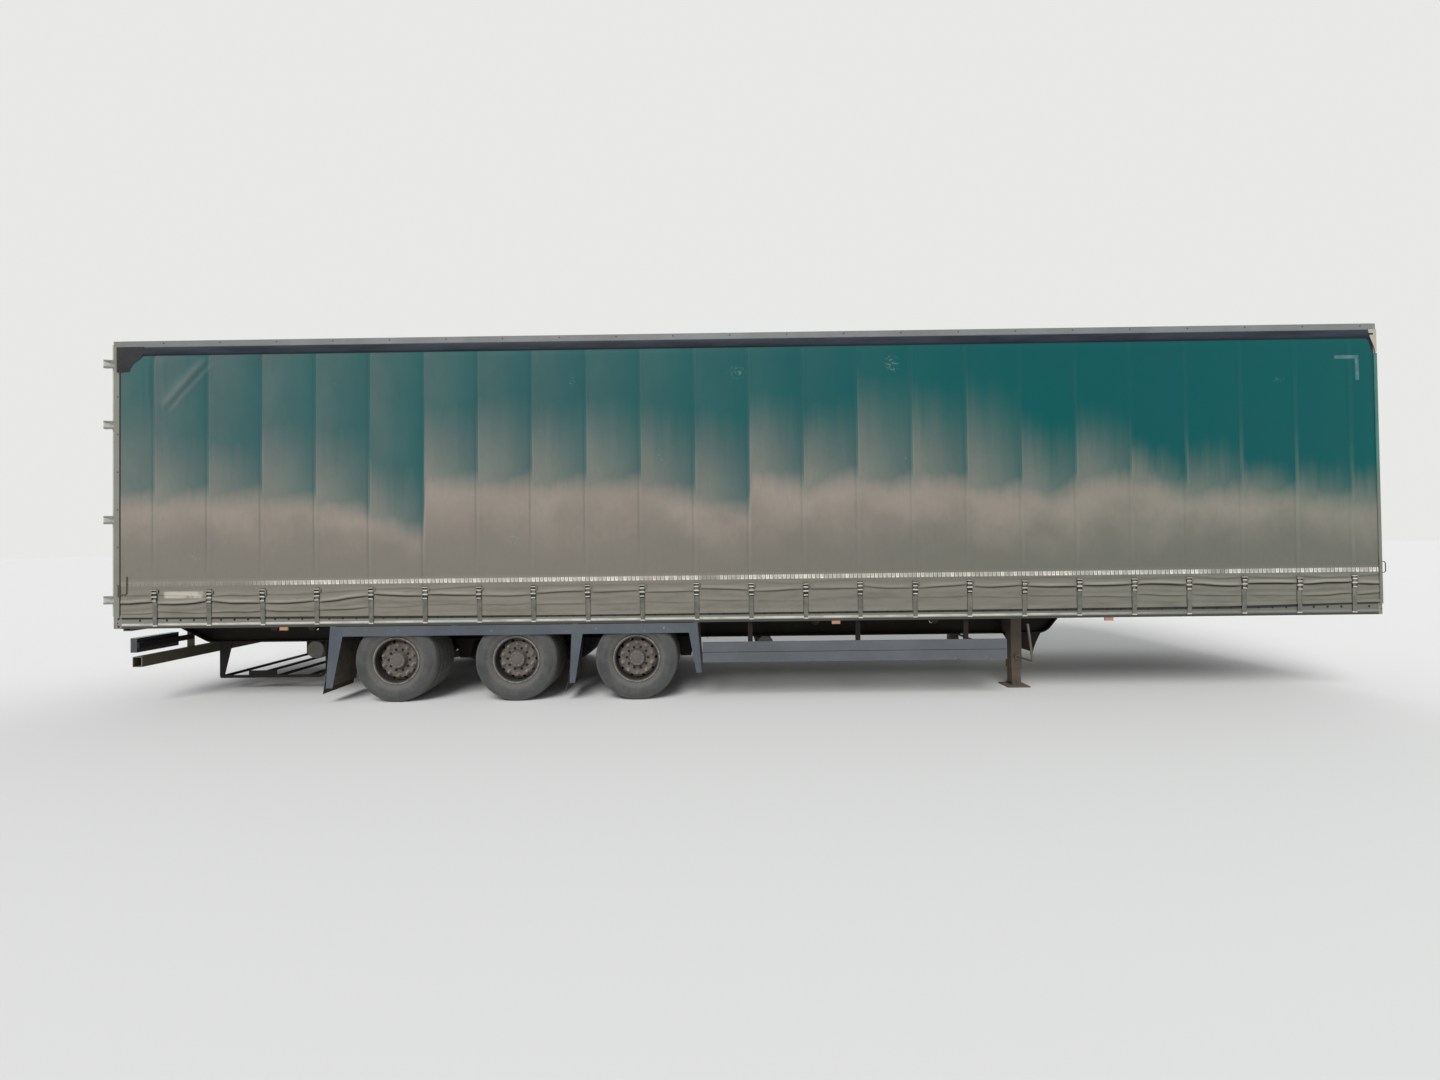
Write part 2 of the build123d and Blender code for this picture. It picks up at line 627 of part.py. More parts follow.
# Wheels: low wide tyres on steel rims, with the hub and brake disc that turn on the axle spindle
bead_r = 236.0
bead_half_w = 182.0
flange_r = 255.0
rim_half_w = 190.0
well_r = 220.0
well_half_w = 110.0
rim_t = 8.0
tread_half_w = 172.0
tread_t = 20.0
sidewall_t = 16.0
shoulder_r = 424.0
shoulder_half_w = 208.0
bulge_r = 340.0
disc_offset = 120.0
disc_t = 10.0
disc_rim_o = 84.0
disc_flat_r = 190.0
slot_count = 10
slot_r = 17.0
slot_circle_r = 203.0
hub_r = 112.0
hub_back_o = -75.0
hub_cap_r = 90.0
hub_cap_o = 172.0
brake_disc_r = 188.0
brake_disc_o = -110.0
brake_disc_t = 45.0
spindle_r = 45.0
for axle_name, axle_x in zip(axle_names, axle_xs):
    for side, side_name in sides:
        wheel_plane = Plane(origin=(axle_x, side * wheel_y, axle_z), x_dir=(0, side, 0), z_dir=(side, 0, 0))
        wheel_axis = Axis((axle_x, 0, axle_z), (0, 1, 0))
        half_w = tyre_w / 2
        bead_in = bead_r + fit_gap
        bead_out = bead_half_w - fit_gap
        with BuildPart() as tyre:
            with BuildSketch(wheel_plane):
                with BuildLine():
                    for out in (1, -1):
                        Line((out * bead_out, bead_in), (out * bead_out, flange_r + fit_gap))
                        ThreePointArc(
                            (out * bead_out, flange_r + fit_gap),
                            (out * half_w, bulge_r),
                            (out * shoulder_half_w, shoulder_r),
                        )
                        Line((out * shoulder_half_w, shoulder_r), (out * tread_half_w, tyre_r))
                        Line((out * bead_out, bead_in), (out * (bead_out - sidewall_t), bead_in))
                        Line(
                            (out * (bead_out - sidewall_t), bead_in),
                            (out * (half_w - sidewall_t), bulge_r),
                        )
                        Line(
                            (out * (half_w - sidewall_t), bulge_r),
                            (out * (tread_half_w + sidewall_t), tyre_r - tread_t),
                        )
                    Line((tread_half_w, tyre_r), (-tread_half_w, tyre_r))
                    Line(
                        (tread_half_w + sidewall_t, tyre_r - tread_t),
                        (-tread_half_w - sidewall_t, tyre_r - tread_t),
                    )
                make_face()
            revolve(axis=wheel_axis)
        save(tyre, f"tyre_{axle_name}_{side_name}")

        with BuildPart() as rim:
            with BuildSketch(wheel_plane):
                with BuildLine():
                    outer = [
                        (-rim_half_w, flange_r),
                        (-bead_half_w, flange_r),
                        (-bead_half_w, bead_r),
                        (-well_half_w - rim_t, bead_r),
                        (-well_half_w, well_r),
                        (disc_rim_o - 3 * rim_t, well_r),
                        (disc_rim_o, bead_r),
                        (bead_half_w, bead_r),
                        (bead_half_w, flange_r),
                        (rim_half_w, flange_r),
                    ]
                    inner = [
                        (rim_half_w, bead_r - rim_t),
                        (disc_rim_o + rim_t, bead_r - rim_t),
                        (disc_rim_o - 2 * rim_t, well_r - rim_t),
                        (-well_half_w - rim_t / 2, well_r - rim_t),
                        (-well_half_w - 3 * rim_t / 2, bead_r - rim_t),
                        (-rim_half_w, bead_r - rim_t),
                    ]
                    Polyline(*outer, *inner, close=True)
                make_face()
            revolve(axis=wheel_axis)
            with BuildSketch(wheel_plane):
                with BuildLine():
                    Polyline(
                        (disc_offset, spindle_r + fit_gap),
                        (disc_offset, disc_flat_r),
                        (disc_rim_o, bead_r - rim_t),
                        (disc_rim_o + 2 * disc_t, bead_r - rim_t),
                        (disc_offset + disc_t, disc_flat_r),
                        (disc_offset + disc_t, hub_cap_r),
                        (hub_cap_o, hub_cap_r - disc_t),
                        (hub_cap_o, 0),
                        (disc_offset + disc_t, 0),
                        (disc_offset + disc_t, spindle_r + fit_gap),
                        close=True,
                    )
                make_face()
            revolve(axis=wheel_axis)
            with BuildSketch(wheel_plane):
                with BuildLine():
                    Polyline(
                        (hub_back_o, spindle_r + fit_gap),
                        (hub_back_o, hub_r),
                        (disc_offset, hub_r),
                        (disc_offset, spindle_r + fit_gap),
                        close=True,
                    )
                make_face()
            revolve(axis=wheel_axis)
            with BuildSketch(wheel_plane):
                with BuildLine():
                    Polyline(
                        (brake_disc_o, spindle_r + fit_gap),
                        (brake_disc_o, brake_disc_r),
                        (brake_disc_o + brake_disc_t, brake_disc_r),
                        (brake_disc_o + brake_disc_t, spindle_r + fit_gap),
                        close=True,
                    )
                make_face()
            revolve(axis=wheel_axis)
            slot_plane = Plane(
                origin=(axle_x, side * (wheel_y + disc_rim_o), axle_z), x_dir=(1, 0, 0), z_dir=(0, side, 0)
            )
            with BuildSketch(slot_plane):
                with PolarLocations(slot_circle_r, slot_count):
                    Circle(slot_r)
            extrude(amount=disc_offset + 2 * disc_t - disc_rim_o, mode=Mode.SUBTRACT)
        save(rim, f"rim_{axle_name}_{side_name}")

# Axles: tubes with turned spindles that carry the hubs, and plates for the dampers and brake chambers
axle_r = 63.5
axle_end_gap = 10.0
axle_end_y = wheel_y + brake_disc_o - axle_end_gap
spindle_end_y = wheel_y + disc_offset - axle_end_gap
arm_y = beam_y
arm_w = 76.0
axle_ring = 8.0
damper_plate_t = 12.0
damper_plate_y = arm_y - arm_w / 2 - 2 * fit_gap
damper_foot = (85.0, 520.0)
damper_eye_r = 22.0
chamber_r = 78.0
chamber_forward = 150.0
chamber_inner_y = 300.0
chamber_length = 210.0
chamber_plate_t = 10.0
chamber_boss_r = 45.0
with BuildPart() as axles:
    for x in axle_xs:
        with BuildSketch(Plane.XZ.offset(-damper_plate_y)):
            with Locations((x, axle_z)):
                Circle(axle_r + axle_ring)
            with Locations((x + damper_foot[0], damper_foot[1])):
                Circle(damper_eye_r)
            make_hull()
        extrude(amount=damper_plate_t)
        with BuildSketch(Plane.XZ.offset(-chamber_inner_y)):
            with Locations((x, axle_z)):
                Circle(axle_r + axle_ring)
            with Locations((x + chamber_forward, axle_z)):
                Circle(chamber_boss_r)
            make_hull()
        extrude(amount=chamber_plate_t)
    mirror(about=Plane.XZ)
    for x in axle_xs:
        rod((x, -axle_end_y, axle_z), (x, axle_end_y, axle_z), axle_r)
        rod((x, -spindle_end_y, axle_z), (x, spindle_end_y, axle_z), spindle_r)
save(axles, "axles")

# Air suspension: hanger, trailing arm under the axle, air spring behind it, and a damper
hanger_reach = 500.0
hanger_pivot_z = 430.0
arm_depth = 52.0
arm_under_z = axle_z - axle_r - arm_depth
arm_tail = 470.0
arm_eye_r = 45.0
hanger_plate_t = 8.0
hanger_top_half = 110.0
hanger_foot_half = 62.0
hanger_foot_z = 368.0
pivot_pin_r = 15.0
clamp_t = 16.0
with BuildPart() as trailing_arms:
    for x in axle_xs:
        with BuildSketch(Plane.XZ.offset(-arm_y)):
            with BuildLine():
                Polyline(
                    (x - arm_tail, arm_under_z),
                    (x + axle_r, arm_under_z),
                    (x + hanger_reach, hanger_pivot_z - arm_eye_r),
                    (x + hanger_reach, hanger_pivot_z + arm_eye_r),
                    (x + 2 * axle_r, arm_under_z + arm_depth),
                    (x - arm_tail, arm_under_z + arm_depth),
                    close=True,
                )
            make_face()
            with Locations((x + hanger_reach, hanger_pivot_z)):
                Circle(arm_eye_r)
                Circle(pivot_pin_r + fit_gap, mode=Mode.SUBTRACT)
            with Locations((x, axle_z)):
                Circle(axle_r + clamp_t)
                Circle(axle_r + fit_gap, mode=Mode.SUBTRACT)
        extrude(amount=arm_w / 2, both=True)
    mirror(about=Plane.XZ)
save(trailing_arms, "trailing_arms")

with BuildPart() as hangers:
    for x in axle_xs:
        for inward in (-1, 1):
            with BuildSketch(Plane.XZ.offset(-arm_y - inward * (arm_w / 2 + fit_gap + hanger_plate_t / 2))):
                with BuildLine():
                    Polyline(
                        (x + hanger_reach - hanger_foot_half, hanger_foot_z),
                        (x + hanger_reach + hanger_foot_half, hanger_foot_z),
                        (x + hanger_reach + hanger_top_half, beam_bottom),
                        (x + hanger_reach - hanger_top_half, beam_bottom),
                        close=True,
                    )
                make_face()
            extrude(amount=hanger_plate_t / 2, both=True)
        pin_half = arm_w / 2 + fit_gap + hanger_plate_t
        rod(
            (x + hanger_reach, arm_y - pin_half, hanger_pivot_z),
            (x + hanger_reach, arm_y + pin_half, hanger_pivot_z),
            pivot_pin_r,
        )
        block(
            (x + hanger_reach - hanger_top_half, x + hanger_reach + hanger_top_half),
            (arm_y - pin_half, arm_y + pin_half),
            (beam_bottom - hanger_plate_t, beam_bottom),
        )
    mirror(about=Plane.XZ)
save(hangers, "hangers")

spring_back = 340.0
spring_r = 120.0
spring_plate_r = 95.0
spring_plate_t = 10.0
spring_bulge = 18.0
with BuildPart() as air_springs:
    for x in axle_xs:
        seat_z = arm_under_z + arm_depth
        mid_z = (seat_z + beam_bottom) / 2
        with BuildSketch(Plane.XZ.offset(-arm_y)):
            with BuildLine():
                Polyline(
                    (x - spring_back, beam_bottom),
                    (x - spring_back, seat_z),
                    (x - spring_back + spring_plate_r, seat_z),
                    (x - spring_back + spring_plate_r, seat_z + spring_plate_t),
                    (x - spring_back + spring_r - spring_bulge, seat_z + spring_plate_t),
                )
                ThreePointArc(
                    (x - spring_back + spring_r - spring_bulge, seat_z + spring_plate_t),
                    (x - spring_back + spring_r, mid_z),
                    (x - spring_back + spring_r - spring_bulge, beam_bottom - spring_plate_t),
                )
                Polyline(
                    (x - spring_back + spring_r - spring_bulge, beam_bottom - spring_plate_t),
                    (x - spring_back + spring_plate_r, beam_bottom - spring_plate_t),
                    (x - spring_back + spring_plate_r, beam_bottom),
                    (x - spring_back, beam_bottom),
                )
            make_face()
        revolve(axis=Axis((x - spring_back, arm_y, 0), (0, 0, 1)))
    mirror(about=Plane.XZ)
save(air_springs, "air_springs")

damper_r = 28.0
damper_y = damper_plate_y - damper_plate_t - damper_r - 2 * fit_gap
damper_rod_r = 16.0
damper_head = (455.0, 470.0)
damper_share = 0.55
damper_pin_r = 12.0
hanger_inner_y = arm_y - arm_w / 2 - fit_gap - hanger_plate_t
with BuildPart() as dampers:
    for x in axle_xs:
        start = Vector(x + damper_foot[0], damper_y, damper_foot[1])
        end = Vector(x + damper_head[0], damper_y, damper_head[1])
        middle = start + (end - start) * damper_share
        rod(tuple(start), tuple(middle), damper_r)
        rod(tuple(middle), tuple(end), damper_rod_r)
        rod(tuple(start), (start.X, damper_plate_y - damper_plate_t, start.Z), damper_pin_r)
        rod(tuple(end), (end.X, hanger_inner_y, end.Z), damper_pin_r)
    mirror(about=Plane.XZ)
save(dampers, "dampers")

with BuildPart() as brake_chambers:
    for x in axle_xs:
        rod(
            (x + chamber_forward, chamber_inner_y, axle_z),
            (x + chamber_forward, chamber_inner_y + chamber_length, axle_z),
            chamber_r,
        )
    mirror(about=Plane.XZ)
save(brake_chambers, "brake_chambers")

# Mudguards: a long band beside the tyre tops with tapered strips down from it, and panels across the wheels
band_t = 6.0
band_top = 832.0
band_bottom = 727.0
band_y = post_y
band_inner_y = band_y - band_t
band_tab_w = 60.0
panel_t = 4.0
panel_inner_y = wheel_y - tyre_w / 2 - tyre_panel_gap
# Columns: axle beside the strip, reach of its rear and front edge at the top, the same at the foot,
# height of the foot, and which edge the panel stands on (0 rear, 1 front)
strip_table = [
    (axle_xs[0], -685.0, -532.0, -737.0, -665.0, 170.0, 0),
    (axle_xs[1], 622.0, 754.0, 592.0, 650.0, 198.0, 0),
    (axle_xs[2], 555.0, 668.0, 652.0, 708.0, 295.0, 1),
]
band_rear_x = axle_xs[0] + strip_table[0][1]
band_front_x = axle_xs[2] + strip_table[2][2]
with BuildPart() as mudguards:
    block((band_rear_x, band_front_x), (band_inner_y, band_y), (band_bottom, band_top))
    for x in wheel_gap_xs:
        block((x - band_tab_w / 2, x + band_tab_w / 2), (band_inner_y, band_y), (band_top, rail_bottom))
    for axle_x, top_rear, top_front, foot_rear, foot_front, foot_z, edge in strip_table:
        with BuildSketch(Plane.XZ.offset(-band_inner_y)):
            with BuildLine():
                Polyline(
                    (axle_x + top_rear, band_top),
                    (axle_x + foot_rear, foot_z),
                    (axle_x + foot_front, foot_z),
                    (axle_x + top_front, band_top),
                    close=True,
                )
            make_face()
        extrude(amount=-band_t)
    mirror(about=Plane.XZ)
save(mudguards, "mudguards")

with BuildPart() as mudguard_panels:
    for axle_x, top_rear, top_front, foot_rear, foot_front, foot_z, edge in strip_table:
        top_x = axle_x + (top_rear, top_front - panel_t)[edge]
        foot_x = axle_x + (foot_rear, foot_front - panel_t)[edge]
        with BuildSketch(Plane.XZ.offset(-panel_inner_y)):
            with BuildLine():
                Polyline(
                    (top_x, band_top),
                    (foot_x, foot_z),
                    (foot_x + panel_t, foot_z),
                    (top_x + panel_t, band_top),
                    close=True,
                )
            make_face()
        extrude(amount=-(band_inner_y - panel_inner_y))
    mirror(about=Plane.XZ)
save(mudguard_panels, "mudguard_panels")

# Mud flaps: rubber sheets that hang behind the panels of the rear and middle wheels
flap_t = 5.0
flap_top_z = 350.0
flap_low_z = 108.0
flap_lean = 45.0
with BuildPart() as mud_flaps:
    for axle_x, top_rear, top_front, foot_rear, foot_front, foot_z, edge in strip_table[:2]:
        seat_share = (flap_top_z - foot_z) / (band_top - foot_z)
        seat_x = axle_x + foot_rear + (top_rear - foot_rear) * seat_share - soft_gap
        with BuildSketch(Plane.XZ.offset(-panel_inner_y)):
            with BuildLine():
                Polyline(
                    (seat_x, flap_top_z),
                    (seat_x - flap_lean, flap_low_z),
                    (seat_x - flap_lean - flap_t, flap_low_z),
                    (seat_x - flap_t, flap_top_z),
                    close=True,
                )
            make_face()
        extrude(amount=-(band_inner_y - panel_inner_y))
    mirror(about=Plane.XZ)
save(mud_flaps, "mud_flaps")

# Side guards: two planks on each side, on brackets hung from the side rails
guard_rear_gap = 720.0
guard_leg_gap = 320.0
guard_rear_x = axle_xs[2] + guard_rear_gap
guard_front_x = leg_x - guard_leg_gap
plank_h = 105.0
plank_gap = 5.0
plank_t = 25.0
plank_wall = 3.0
plank_y = rail_y - 3.0
guard_bottom = 405.0
guard_bracket_xs = front_bay_xs[0:5:2]
guard_bracket_w = 50.0
guard_bracket_t = 20.0
with BuildPart() as guard_planks:
    for low in (guard_bottom, guard_bottom + plank_h + plank_gap):
        with BuildSketch(Plane.YZ.offset(guard_rear_x)):
            with Locations((plank_y - plank_t / 2, low + plank_h / 2)):
                Rectangle(plank_t, plank_h)
            offset(amount=-plank_wall, mode=Mode.SUBTRACT)
        extrude(amount=guard_front_x - guard_rear_x)
    mirror(about=Plane.XZ)
save(guard_planks, "guard_planks")

with BuildPart() as guard_brackets:
    for x in guard_bracket_xs:
        with BuildSketch(Plane.YZ.offset(x)):
            with BuildLine():
                bracket_out = plank_y - plank_t
                bracket_in = bracket_out - guard_bracket_t
                Polyline(
                    (bracket_in, guard_bottom),
                    (bracket_out, guard_bottom),
                    (bracket_out, outrigger_under(bracket_out)),
                    (bracket_in, outrigger_under(bracket_in)),
                    close=True,
                )
            make_face()
        extrude(amount=guard_bracket_w / 2, both=True)
    mirror(about=Plane.XZ)
save(guard_brackets, "guard_brackets")

# Landing gear: two square legs beside the main beams, a cross shaft and a crank on the right side
leg_wall = 8.0
leg_top = 885.0
leg_bottom = 206.0
inner_leg_gap = 0.3
inner_leg_top = 700.0
foot_t = 14.0
foot_l = 260.0
foot_w = 220.0
inner_leg_foot_z = 40.0
ankle_z = 62.0
ankle_pin_r = 16.0
ankle_lug_r = 34.0
ankle_lug_t = 12.0
foot_taper = 20.0
shaft_z = 345.0
shaft_r = 14.0
crank_r = 12.0
with BuildPart() as leg_tubes:
    with BuildSketch(Plane.XY.offset(leg_bottom)):
        with Locations((leg_x, leg_y)):
            Rectangle(leg_w, leg_w)
        offset(amount=-leg_wall, mode=Mode.SUBTRACT)
    extrude(amount=leg_top - leg_bottom)
    for x in (leg_x - leg_w / 2, leg_x + leg_w / 2 - leg_wall):
        block((x, x + leg_wall), (web_outer_y, leg_y - leg_w / 2), (beam_bottom + flange_t, leg_top))
    mirror(about=Plane.XZ)
save(leg_tubes, "leg_tubes")

inner_leg_w = leg_w - 2 * leg_wall - 2 * inner_leg_gap
with BuildPart() as leg_feet:
    block(
        (leg_x - inner_leg_w / 2, leg_x + inner_leg_w / 2),
        (leg_y - inner_leg_w / 2, leg_y + inner_leg_w / 2),
        (inner_leg_foot_z, inner_leg_top),
    )
    with BuildSketch(Plane.XY):
        with Locations((leg_x, leg_y)):
            Rectangle(foot_l, foot_w)
    extrude(amount=foot_t, taper=foot_taper)
    for lug_y in (leg_y - inner_leg_w / 2 - ankle_lug_t, leg_y + inner_leg_w / 2):
        with BuildSketch(Plane.XZ.offset(-lug_y)):
            with Locations((leg_x, ankle_z)):
                Circle(ankle_lug_r)
            with Locations((leg_x, foot_t - foot_t / 4)):
                Rectangle(foot_l / 2, foot_t / 2)
            make_hull()
        extrude(amount=-ankle_lug_t)
    pin_half = inner_leg_w / 2 + 2 * ankle_lug_t
    rod((leg_x, leg_y - pin_half, ankle_z), (leg_x, leg_y + pin_half, ankle_z), ankle_pin_r)
    mirror(about=Plane.XZ)
save(leg_feet, "leg_feet")

# The cross shaft, and the folded crank: out from the right leg to a knee, then up under the side rail
crank_knee = (leg_x - 31.0, -(rail_y - 30.0), 369.0)
crank_tip = (leg_x - 79.0, -(rail_y - 30.0), 773.0)
crank_boss_r = 30.0
crank_boss_l = 26.0
with BuildPart() as leg_drive:
    leg_face_y = leg_y + leg_w / 2
    rod((leg_x, -(leg_y - leg_w / 2), shaft_z), (leg_x, leg_y - leg_w / 2, shaft_z), shaft_r)
    crank_root = (leg_x, -leg_face_y - crank_boss_l, shaft_z)
    rod(crank_root, (leg_x, -leg_face_y, shaft_z), crank_boss_r)
    rod(crank_root, crank_knee, crank_r)
    rod(crank_knee, crank_tip, crank_r)
    with Locations(crank_knee):
        Sphere(crank_r)
save(leg_drive, "leg_drive")

# Braces from the inner faces of the legs up to the beams
brace_t = 30.0
brace_foot_z = 400.0
brace_foot_h = 90.0
brace_head_w = 50.0
brace_web_gap = 8.0
with BuildPart() as leg_braces:
    with BuildSketch(Plane.YZ.offset(leg_x - brace_t / 2)):
        with BuildLine():
            Polyline(
                (leg_y - leg_w / 2, brace_foot_z),
                (leg_y - leg_w / 2, brace_foot_z + brace_foot_h),
                (web_outer_y + brace_web_gap + brace_head_w, beam_bottom),
                (web_outer_y + brace_web_gap, beam_bottom),
                close=True,
            )
        make_face()
    extrude(amount=brace_t)
    mirror(about=Plane.XZ)
save(leg_braces, "leg_braces")

# Spare wheel carrier: an empty tray of tubes under the rear frame, hung on a plate behind and a bend in front
carrier_setback = 690.0
carrier_length = 1270.0
carrier_rear_x = rear_x + carrier_setback
carrier_front_x = carrier_rear_x + carrier_length
carrier_z = 165.0
carrier_tube_r = 17.0
carrier_round = 110.0
carrier_bar_setbacks = (0.0, 330.0, 665.0, 1040.0)
carrier_plate_t = 12.0
carrier_plate_head_w = 133.0
carrier_plate_foot_w = 30.0
carrier_strip_t = 8.0
carrier_strip_h = 70.0
with BuildPart() as spare_carrier:
    for y in (-beam_y, beam_y):
        with BuildLine(Plane.XZ.offset(-y)):
            FilletPolyline(
                (carrier_rear_x, carrier_z),
                (carrier_front_x, carrier_z),
                (carrier_front_x, beam_bottom),
                radius=carrier_round,
            )
        with BuildSketch(Plane.YZ.offset(carrier_rear_x)):
            with Locations((y, carrier_z)):
                Circle(carrier_tube_r)
        sweep()
    for setback in carrier_bar_setbacks:
        bar_x = carrier_rear_x + setback
        rod((bar_x, -beam_y, carrier_z), (bar_x, beam_y, carrier_z), carrier_tube_r)
    for y in (-beam_y, beam_y):
        block(
            (carrier_rear_x + carrier_bar_setbacks[1], carrier_rear_x + carrier_bar_setbacks[2]),
            (y - carrier_strip_t / 2, y + carrier_strip_t / 2),
            (carrier_z, carrier_z + carrier_strip_h),
        )
        with BuildSketch(Plane.XZ.offset(-y)):
            with BuildLine():
                Polyline(
                    (carrier_rear_x - carrier_tube_r, beam_bottom),
                    (carrier_rear_x + carrier_plate_head_w, beam_bottom),
                    (carrier_rear_x + carrier_plate_foot_w, carrier_z),
                    (carrier_rear_x - carrier_tube_r, carrier_z),
                    close=True,
                )
            make_face()
        extrude(amount=carrier_plate_t / 2, both=True)
save(spare_carrier, "spare_carrier")

# Rear underrun guard, hung from the tails of the beams, and the brackets that carry the tail lamps
underrun_setback = 320.0
underrun_x = rear_x + underrun_setback
underrun_w = 100.0
underrun_bottom = 416.0
underrun_top = 527.0
underrun_half_y = 1225.0
underrun_wall = 4.0
stay_w = 80.0
stay_t = 12.0
tail_slope = (beam_tail_z - beam_bottom) / beam_tail_length


def beam_tail_under(x):
    return beam_tail_z - tail_slope * (x - rail_rear_x)


with BuildPart() as underrun_bar:
    with BuildSketch(Plane.XZ.offset(-underrun_half_y)):
        with Locations((underrun_x, (underrun_bottom + underrun_top) / 2)):
            Rectangle(underrun_w, underrun_top - underrun_bottom)
        offset(amount=-underrun_wall, mode=Mode.SUBTRACT)
    extrude(amount=2 * underrun_half_y)
    stay_rear_x = underrun_x - stay_w / 2
    stay_front_x = underrun_x + stay_w / 2
    for y in (-beam_y, beam_y):
        with BuildSketch(Plane.XZ.offset(-y)):
            with BuildLine():
                Polyline(
                    (stay_rear_x, underrun_top),
                    (stay_front_x, underrun_top),
                    (stay_front_x, beam_tail_under(stay_front_x)),
                    (stay_rear_x, beam_tail_under(stay_rear_x)),
                    close=True,
                )
            make_face()
        extrude(amount=stay_t / 2, both=True)
save(underrun_bar, "underrun_bar")

lamp_depth = 90.0
lamp_setback = 240.0
lamp_rear_x = rear_x + lamp_setback
lamp_front_x = lamp_rear_x + lamp_depth
lamp_bottom = 575.0
lamp_top = 730.0
lamp_outer_y = 1235.0
lamp_inner_y = 800.0
lamp_arm_w = 26.0
lamp_arm_h = 60.0
with BuildPart() as lamp_brackets:
    block(
        (lamp_front_x, lamp_front_x + lamp_arm_w),
        (beam_y + stay_t / 2, lamp_outer_y),
        ((lamp_bottom + lamp_top - lamp_arm_h) / 2, (lamp_bottom + lamp_top + lamp_arm_h) / 2),
    )
    mirror(about=Plane.XZ)
save(lamp_brackets, "lamp_brackets")

# Tail lamps: a box with a rounded outer corner and four raised lenses on its rear face
lamp_corner_r = 30.0
lens_rise = 8.0
lens_margin = 14.0
lens_h = lamp_top - lamp_bottom - 2 * lens_margin
lens_count = 4
lens_pitch = (lamp_outer_y - lamp_inner_y - 2 * lamp_corner_r) / lens_count
lens_w = lens_pitch - lens_margin
with BuildPart() as tail_lamps:
    with BuildSketch(Plane.XY.offset(lamp_bottom)) as lamp_case:
        with Locations(((lamp_rear_x + lamp_front_x) / 2, (lamp_inner_y + lamp_outer_y) / 2)):
            Rectangle(lamp_depth, lamp_outer_y - lamp_inner_y)
        fillet(lamp_case.vertices().group_by(Axis.X)[0].sort_by(Axis.Y)[-1], lamp_corner_r)
    extrude(amount=lamp_top - lamp_bottom)
    for k in range(lens_count):
        lens_y = lamp_inner_y + lamp_corner_r + lens_pitch * (k + 0.5)
        block(
            (lamp_rear_x - lens_rise, lamp_rear_x),
            (lens_y - lens_w / 2, lens_y + lens_w / 2),
            (lamp_bottom + lens_margin, lamp_bottom + lens_margin + lens_h),
        )
    mirror(about=Plane.XZ)
save(tail_lamps, "tail_lamps")

# Side marker lamps under the side rails
marker_ahead_of_rear = 1950.0
marker_ahead_of_axle = 3470.0
marker_behind_front = 2950.0
marker_xs = [rear_x + marker_ahead_of_rear, middle_axle_x + marker_ahead_of_axle, front_x - marker_behind_front]
marker_l = 90.0
marker_h = 36.0
marker_t = 14.0
with BuildPart() as side_markers:
    for x in marker_xs:
        block(
            (x - marker_l / 2, x + marker_l / 2),
            (post_y - marker_t, post_y),
            (rail_bottom - marker_h, rail_bottom),
        )
    mirror(about=Plane.XZ)
save(side_markers, "side_markers")

# Air tanks across the frame
tank_r = 100.0
tank_half_l = 660.0
tank_behind_axles = 1315.0
tank_ahead_of_axles = 1440.0
tank_xs = [axle_xs[0] - tank_behind_axles, axle_xs[2] + tank_ahead_of_axles]
tank_drop = 8.0
tank_z = beam_bottom - tank_r - tank_drop
tank_band_t = 4.0
tank_band_w = 40.0
tank_saddle_w = 60.0
with BuildPart() as air_tanks:
    for x in tank_xs:
        rod((x, -tank_half_l, tank_z), (x, tank_half_l, tank_z), tank_r)
        for y in (-beam_y, beam_y - tank_band_w):
            rod((x, y, tank_z), (x, y + tank_band_w, tank_z), tank_r + tank_band_t)
            block(
                (x - tank_saddle_w / 2, x + tank_saddle_w / 2),
                (y, y + tank_band_w),
                (tank_z + tank_r - tank_band_t, beam_bottom),
            )
save(air_tanks, "air_tanks")

# Rubber buffers on the rear sill, under the doors
buffer_depth = 92.0
buffer_bottom = 838.0
buffer_top = 955.0
buffer_y = 1100.0
buffer_w = 110.0
with BuildPart() as dock_buffers:
    block(
        (rear_frame_x - buffer_depth, rear_frame_x),
        (buffer_y - buffer_w / 2, buffer_y + buffer_w / 2),
        (buffer_bottom, buffer_top),
    )
    mirror(about=Plane.XZ)
save(dock_buffers, "dock_buffers")

